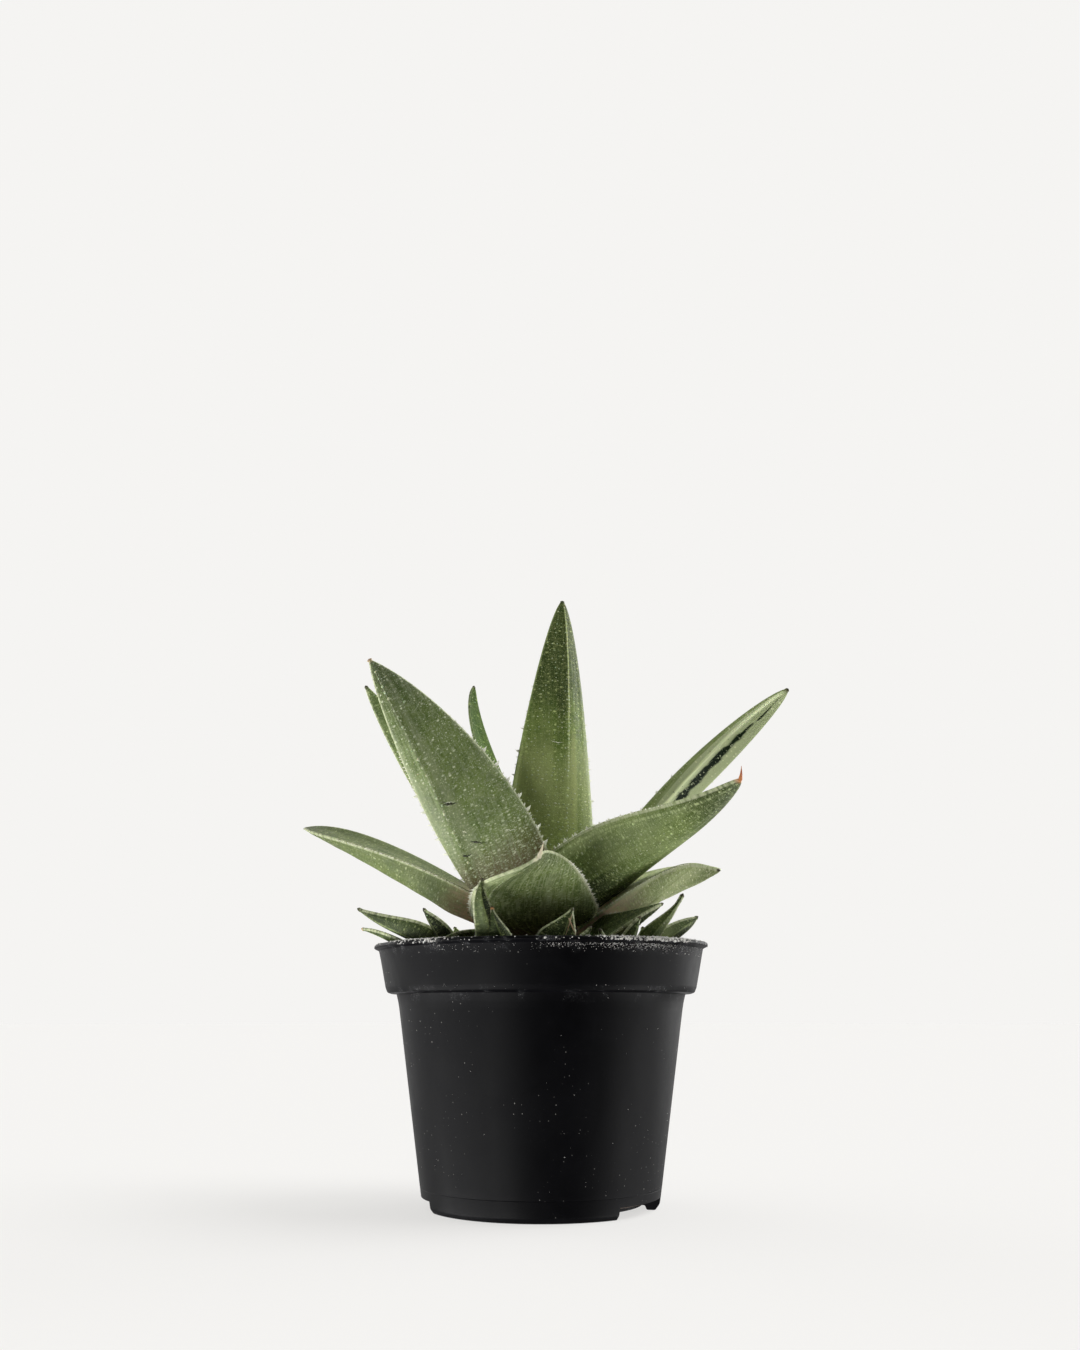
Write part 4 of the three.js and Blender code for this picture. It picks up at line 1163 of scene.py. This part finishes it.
def make_crumbs():
    """Loose crumbs, bark and grit on the mix, none of them where the stem stands."""
    rng = np.random.default_rng(CRUMB_SEED)
    skin = Skin()
    for _ in range(CRUMB_COUNT):
        r, a = 47.3 * math.sqrt(rng.random()), rng.uniform(0, TURN)
        if r < STEM_ROOM:
            continue
        # peat, bark or grit
        mark = int(rng.choice([0, 1, 2], p=[0.45, 0.27, 0.28]))
        size = rng.uniform(0.35, 1.05) if mark < 2 else rng.uniform(0.25, 0.8)
        centre = place_round(r, a, 0)
        centre[2] = float(mix_height(centre[0], centre[1])) + size * 0.3
        add_lump(skin, centre, size, rng, mark, rng.uniform(0.5, 0.9))
    skin.piece("mix_crumbs", [peat, bark, grit], shade=False)
    make_lip_grit(rng)


def make_lip_grit(rng):
    """Fine grit on the lip, and dust under it, along the collar's foot and on the wall."""
    skin = Skin()
    over_edge = (0, 0.4, 0.6, 1)
    for _ in range(LIP_GRIT_COUNT):
        a = dirt_angle(rng, LIP_DIRT) if rng.random() < 0.75 else rng.uniform(0, TURN)
        w = rng.random()
        r = float(np.interp(w, over_edge, (50.2, 51.7, 52.35, 52.5)))
        z = float(np.interp(w, over_edge, (82.05, 82.05, 81.75, 80.95)))
        size = 0.09 + 0.30 * rng.random() ** 2.5
        add_lump(skin, place_round(r, a, z + LIP_TILT * math.cos(a)), size, rng)
    # lowest and highest place, count and size of the largest
    for low, high, count, large in ((77.6, 80.4, 1100, 0.12), (66.6, 68.4, 90, 0.10), (8.0, 66.0, 70, 0.12)):
        for _ in range(count):
            z, a = rng.uniform(low, high), rng.uniform(0, TURN)
            if count > 1000 and rng.random() < 0.65:
                z = high - abs(rng.normal(0, 0.9))
                a = dirt_angle(rng, UNDER_LIP_DIRT)
            r = float(np.interp(z, WALL_HEIGHTS, WALL_RADII)) + 0.01
            add_lump(skin, place_round(r, a, z), large * rng.uniform(0.35, 1.0), rng)
    skin.piece("lip_grit", [pale_dust], shade=False)


make_mix()
make_crumbs()

# The stem keeps its solid and gets a fibrous bark
stem_fibre = mix_material("stem_fibre", srgb(84, 74, 50), srgb(130, 116, 82), 500)
for stem_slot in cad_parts["stem"].material_slots:
    stem_slot.material = stem_fibre

# Studio: a bright tent behind and at the sides, soft light from the right and a pale
# floor that throws light up from the left, with the room dim on the camera's side
PAPER = srgb(245, 244, 242)
FLOOR_ALBEDO = 0.25
FLOOR_GLOW = 0.7175
FLOOR_REACH = 9
TENT_SIDES = 0.8
TENT_BEHIND = 1.0
TENT_BELOW = 0.15
# name, degrees round from the front to the right, degrees up, strength
LIGHTS = [
    ("bounce_left", -90, -30, 0.67),
    ("bounce_front_left", -45, -30, 0.65),
    ("bounce_right", 90, -30, 0.57),
    ("bounce_back", 180, -30, 0.13),
    ("window_left_back", -130, 15, 0.20),
    ("window_right_back", 130, 15, 0.42),
    ("window_right_high", 90, 50, 0.60),
]
LIGHT_SPREAD = 40


def paper_material(name, scale, detail, rough, dark, light, glow, roughness):
    m = Material(name)
    m.colour = m.mix(m.noise(m.place(), scale, detail, rough), dark, light)
    return m.finish(
        Roughness=roughness, Specular_IOR_Level=0.0, Emission_Color=PAPER, Emission_Strength=glow,
    )


def stage_piece(name, points, faces, paper):
    """A surface round the object that the camera sees, and that lights and shades nothing."""
    mesh = new_mesh(name, points, faces)
    mesh.materials.append(paper)
    obj = new_object(name, mesh)
    obj.visible_diffuse = False
    obj.visible_glossy = False
    obj.visible_shadow = False


def make_floor():
    light = scaled(PAPER, FLOOR_ALBEDO)
    paper = paper_material("floor_paper", 400, 4, 0.6, scaled(light, 0.97), light, FLOOR_GLOW, 0.95)
    corners = [(-1, -1), (1, -1), (1, 1), (-1, 1)]
    points = [(x * FLOOR_REACH, y * FLOOR_REACH, 0) for x, y in corners]
    stage_piece("floor", points, [[0, 1, 2, 3]], paper)


def make_backdrop():
    """A pale dome all round, far off."""
    paper = paper_material("backdrop_paper", 30, 2, 0.5, (0, 0, 0), (0.001, 0.001, 0.001), 1.0, 1.0)
    around = 96
    rows = [(9.0, -0.02), (9.0, 2.0), (8.6, 4.0), (7.0, 6.5), (4.0, 8.2), (0.5, 8.8)]
    points = [(r * math.cos(x), r * math.sin(x), z) for r, z in rows for x in turns(around)]
    top = [(len(rows) - 1) * around + k for k in range(around)]
    stage_piece("backdrop", points, grid_faces(len(rows), around, flip=True) + [top], paper)


def make_world():
    """A soft tent, dark in front of the plant."""
    world = bpy.data.worlds.new("studio")
    scene.world = world
    m = Nodes(world)
    parts = m.parts(m.make("ShaderNodeTexCoord").outputs["Generated"])
    sides = m.ramp(parts["Y"], -0.85, 0.2, 0.0, TENT_SIDES)
    behind = m.ramp(parts["Y"], 0.35, 0.72, 0.0, TENT_BEHIND - TENT_SIDES)
    tent = m.times(m.plus(sides, behind), m.ramp(parts["Z"], -0.4, -0.03))
    strength = m.plus(tent, m.ramp(parts["Z"], -0.4, -0.03, TENT_BELOW, 0.0))
    back = m.make("ShaderNodeBackground")
    m.fill(back, Color=PAPER, Strength=strength)
    m.link(back.outputs[0], m.make("ShaderNodeOutputWorld").inputs["Surface"])


def add_light(name, round_to, up, strength):
    """A soft far light, seen from the plant at an angle round from the front and up."""
    light = bpy.data.lights.new(name, "SUN")
    light.energy = math.pi * strength
    light.angle = math.radians(LIGHT_SPREAD)
    a, b = math.radians(round_to), math.radians(up)
    towards = Vector((math.sin(a) * math.cos(b), -math.cos(a) * math.cos(b), math.sin(b)))
    new_object(name, light).rotation_euler = (-towards).to_track_quat("-Z", "Y").to_euler()


make_floor()
make_backdrop()
make_world()
for light in LIGHTS:
    add_light(*light)
scene.view_settings.view_transform = "Standard"
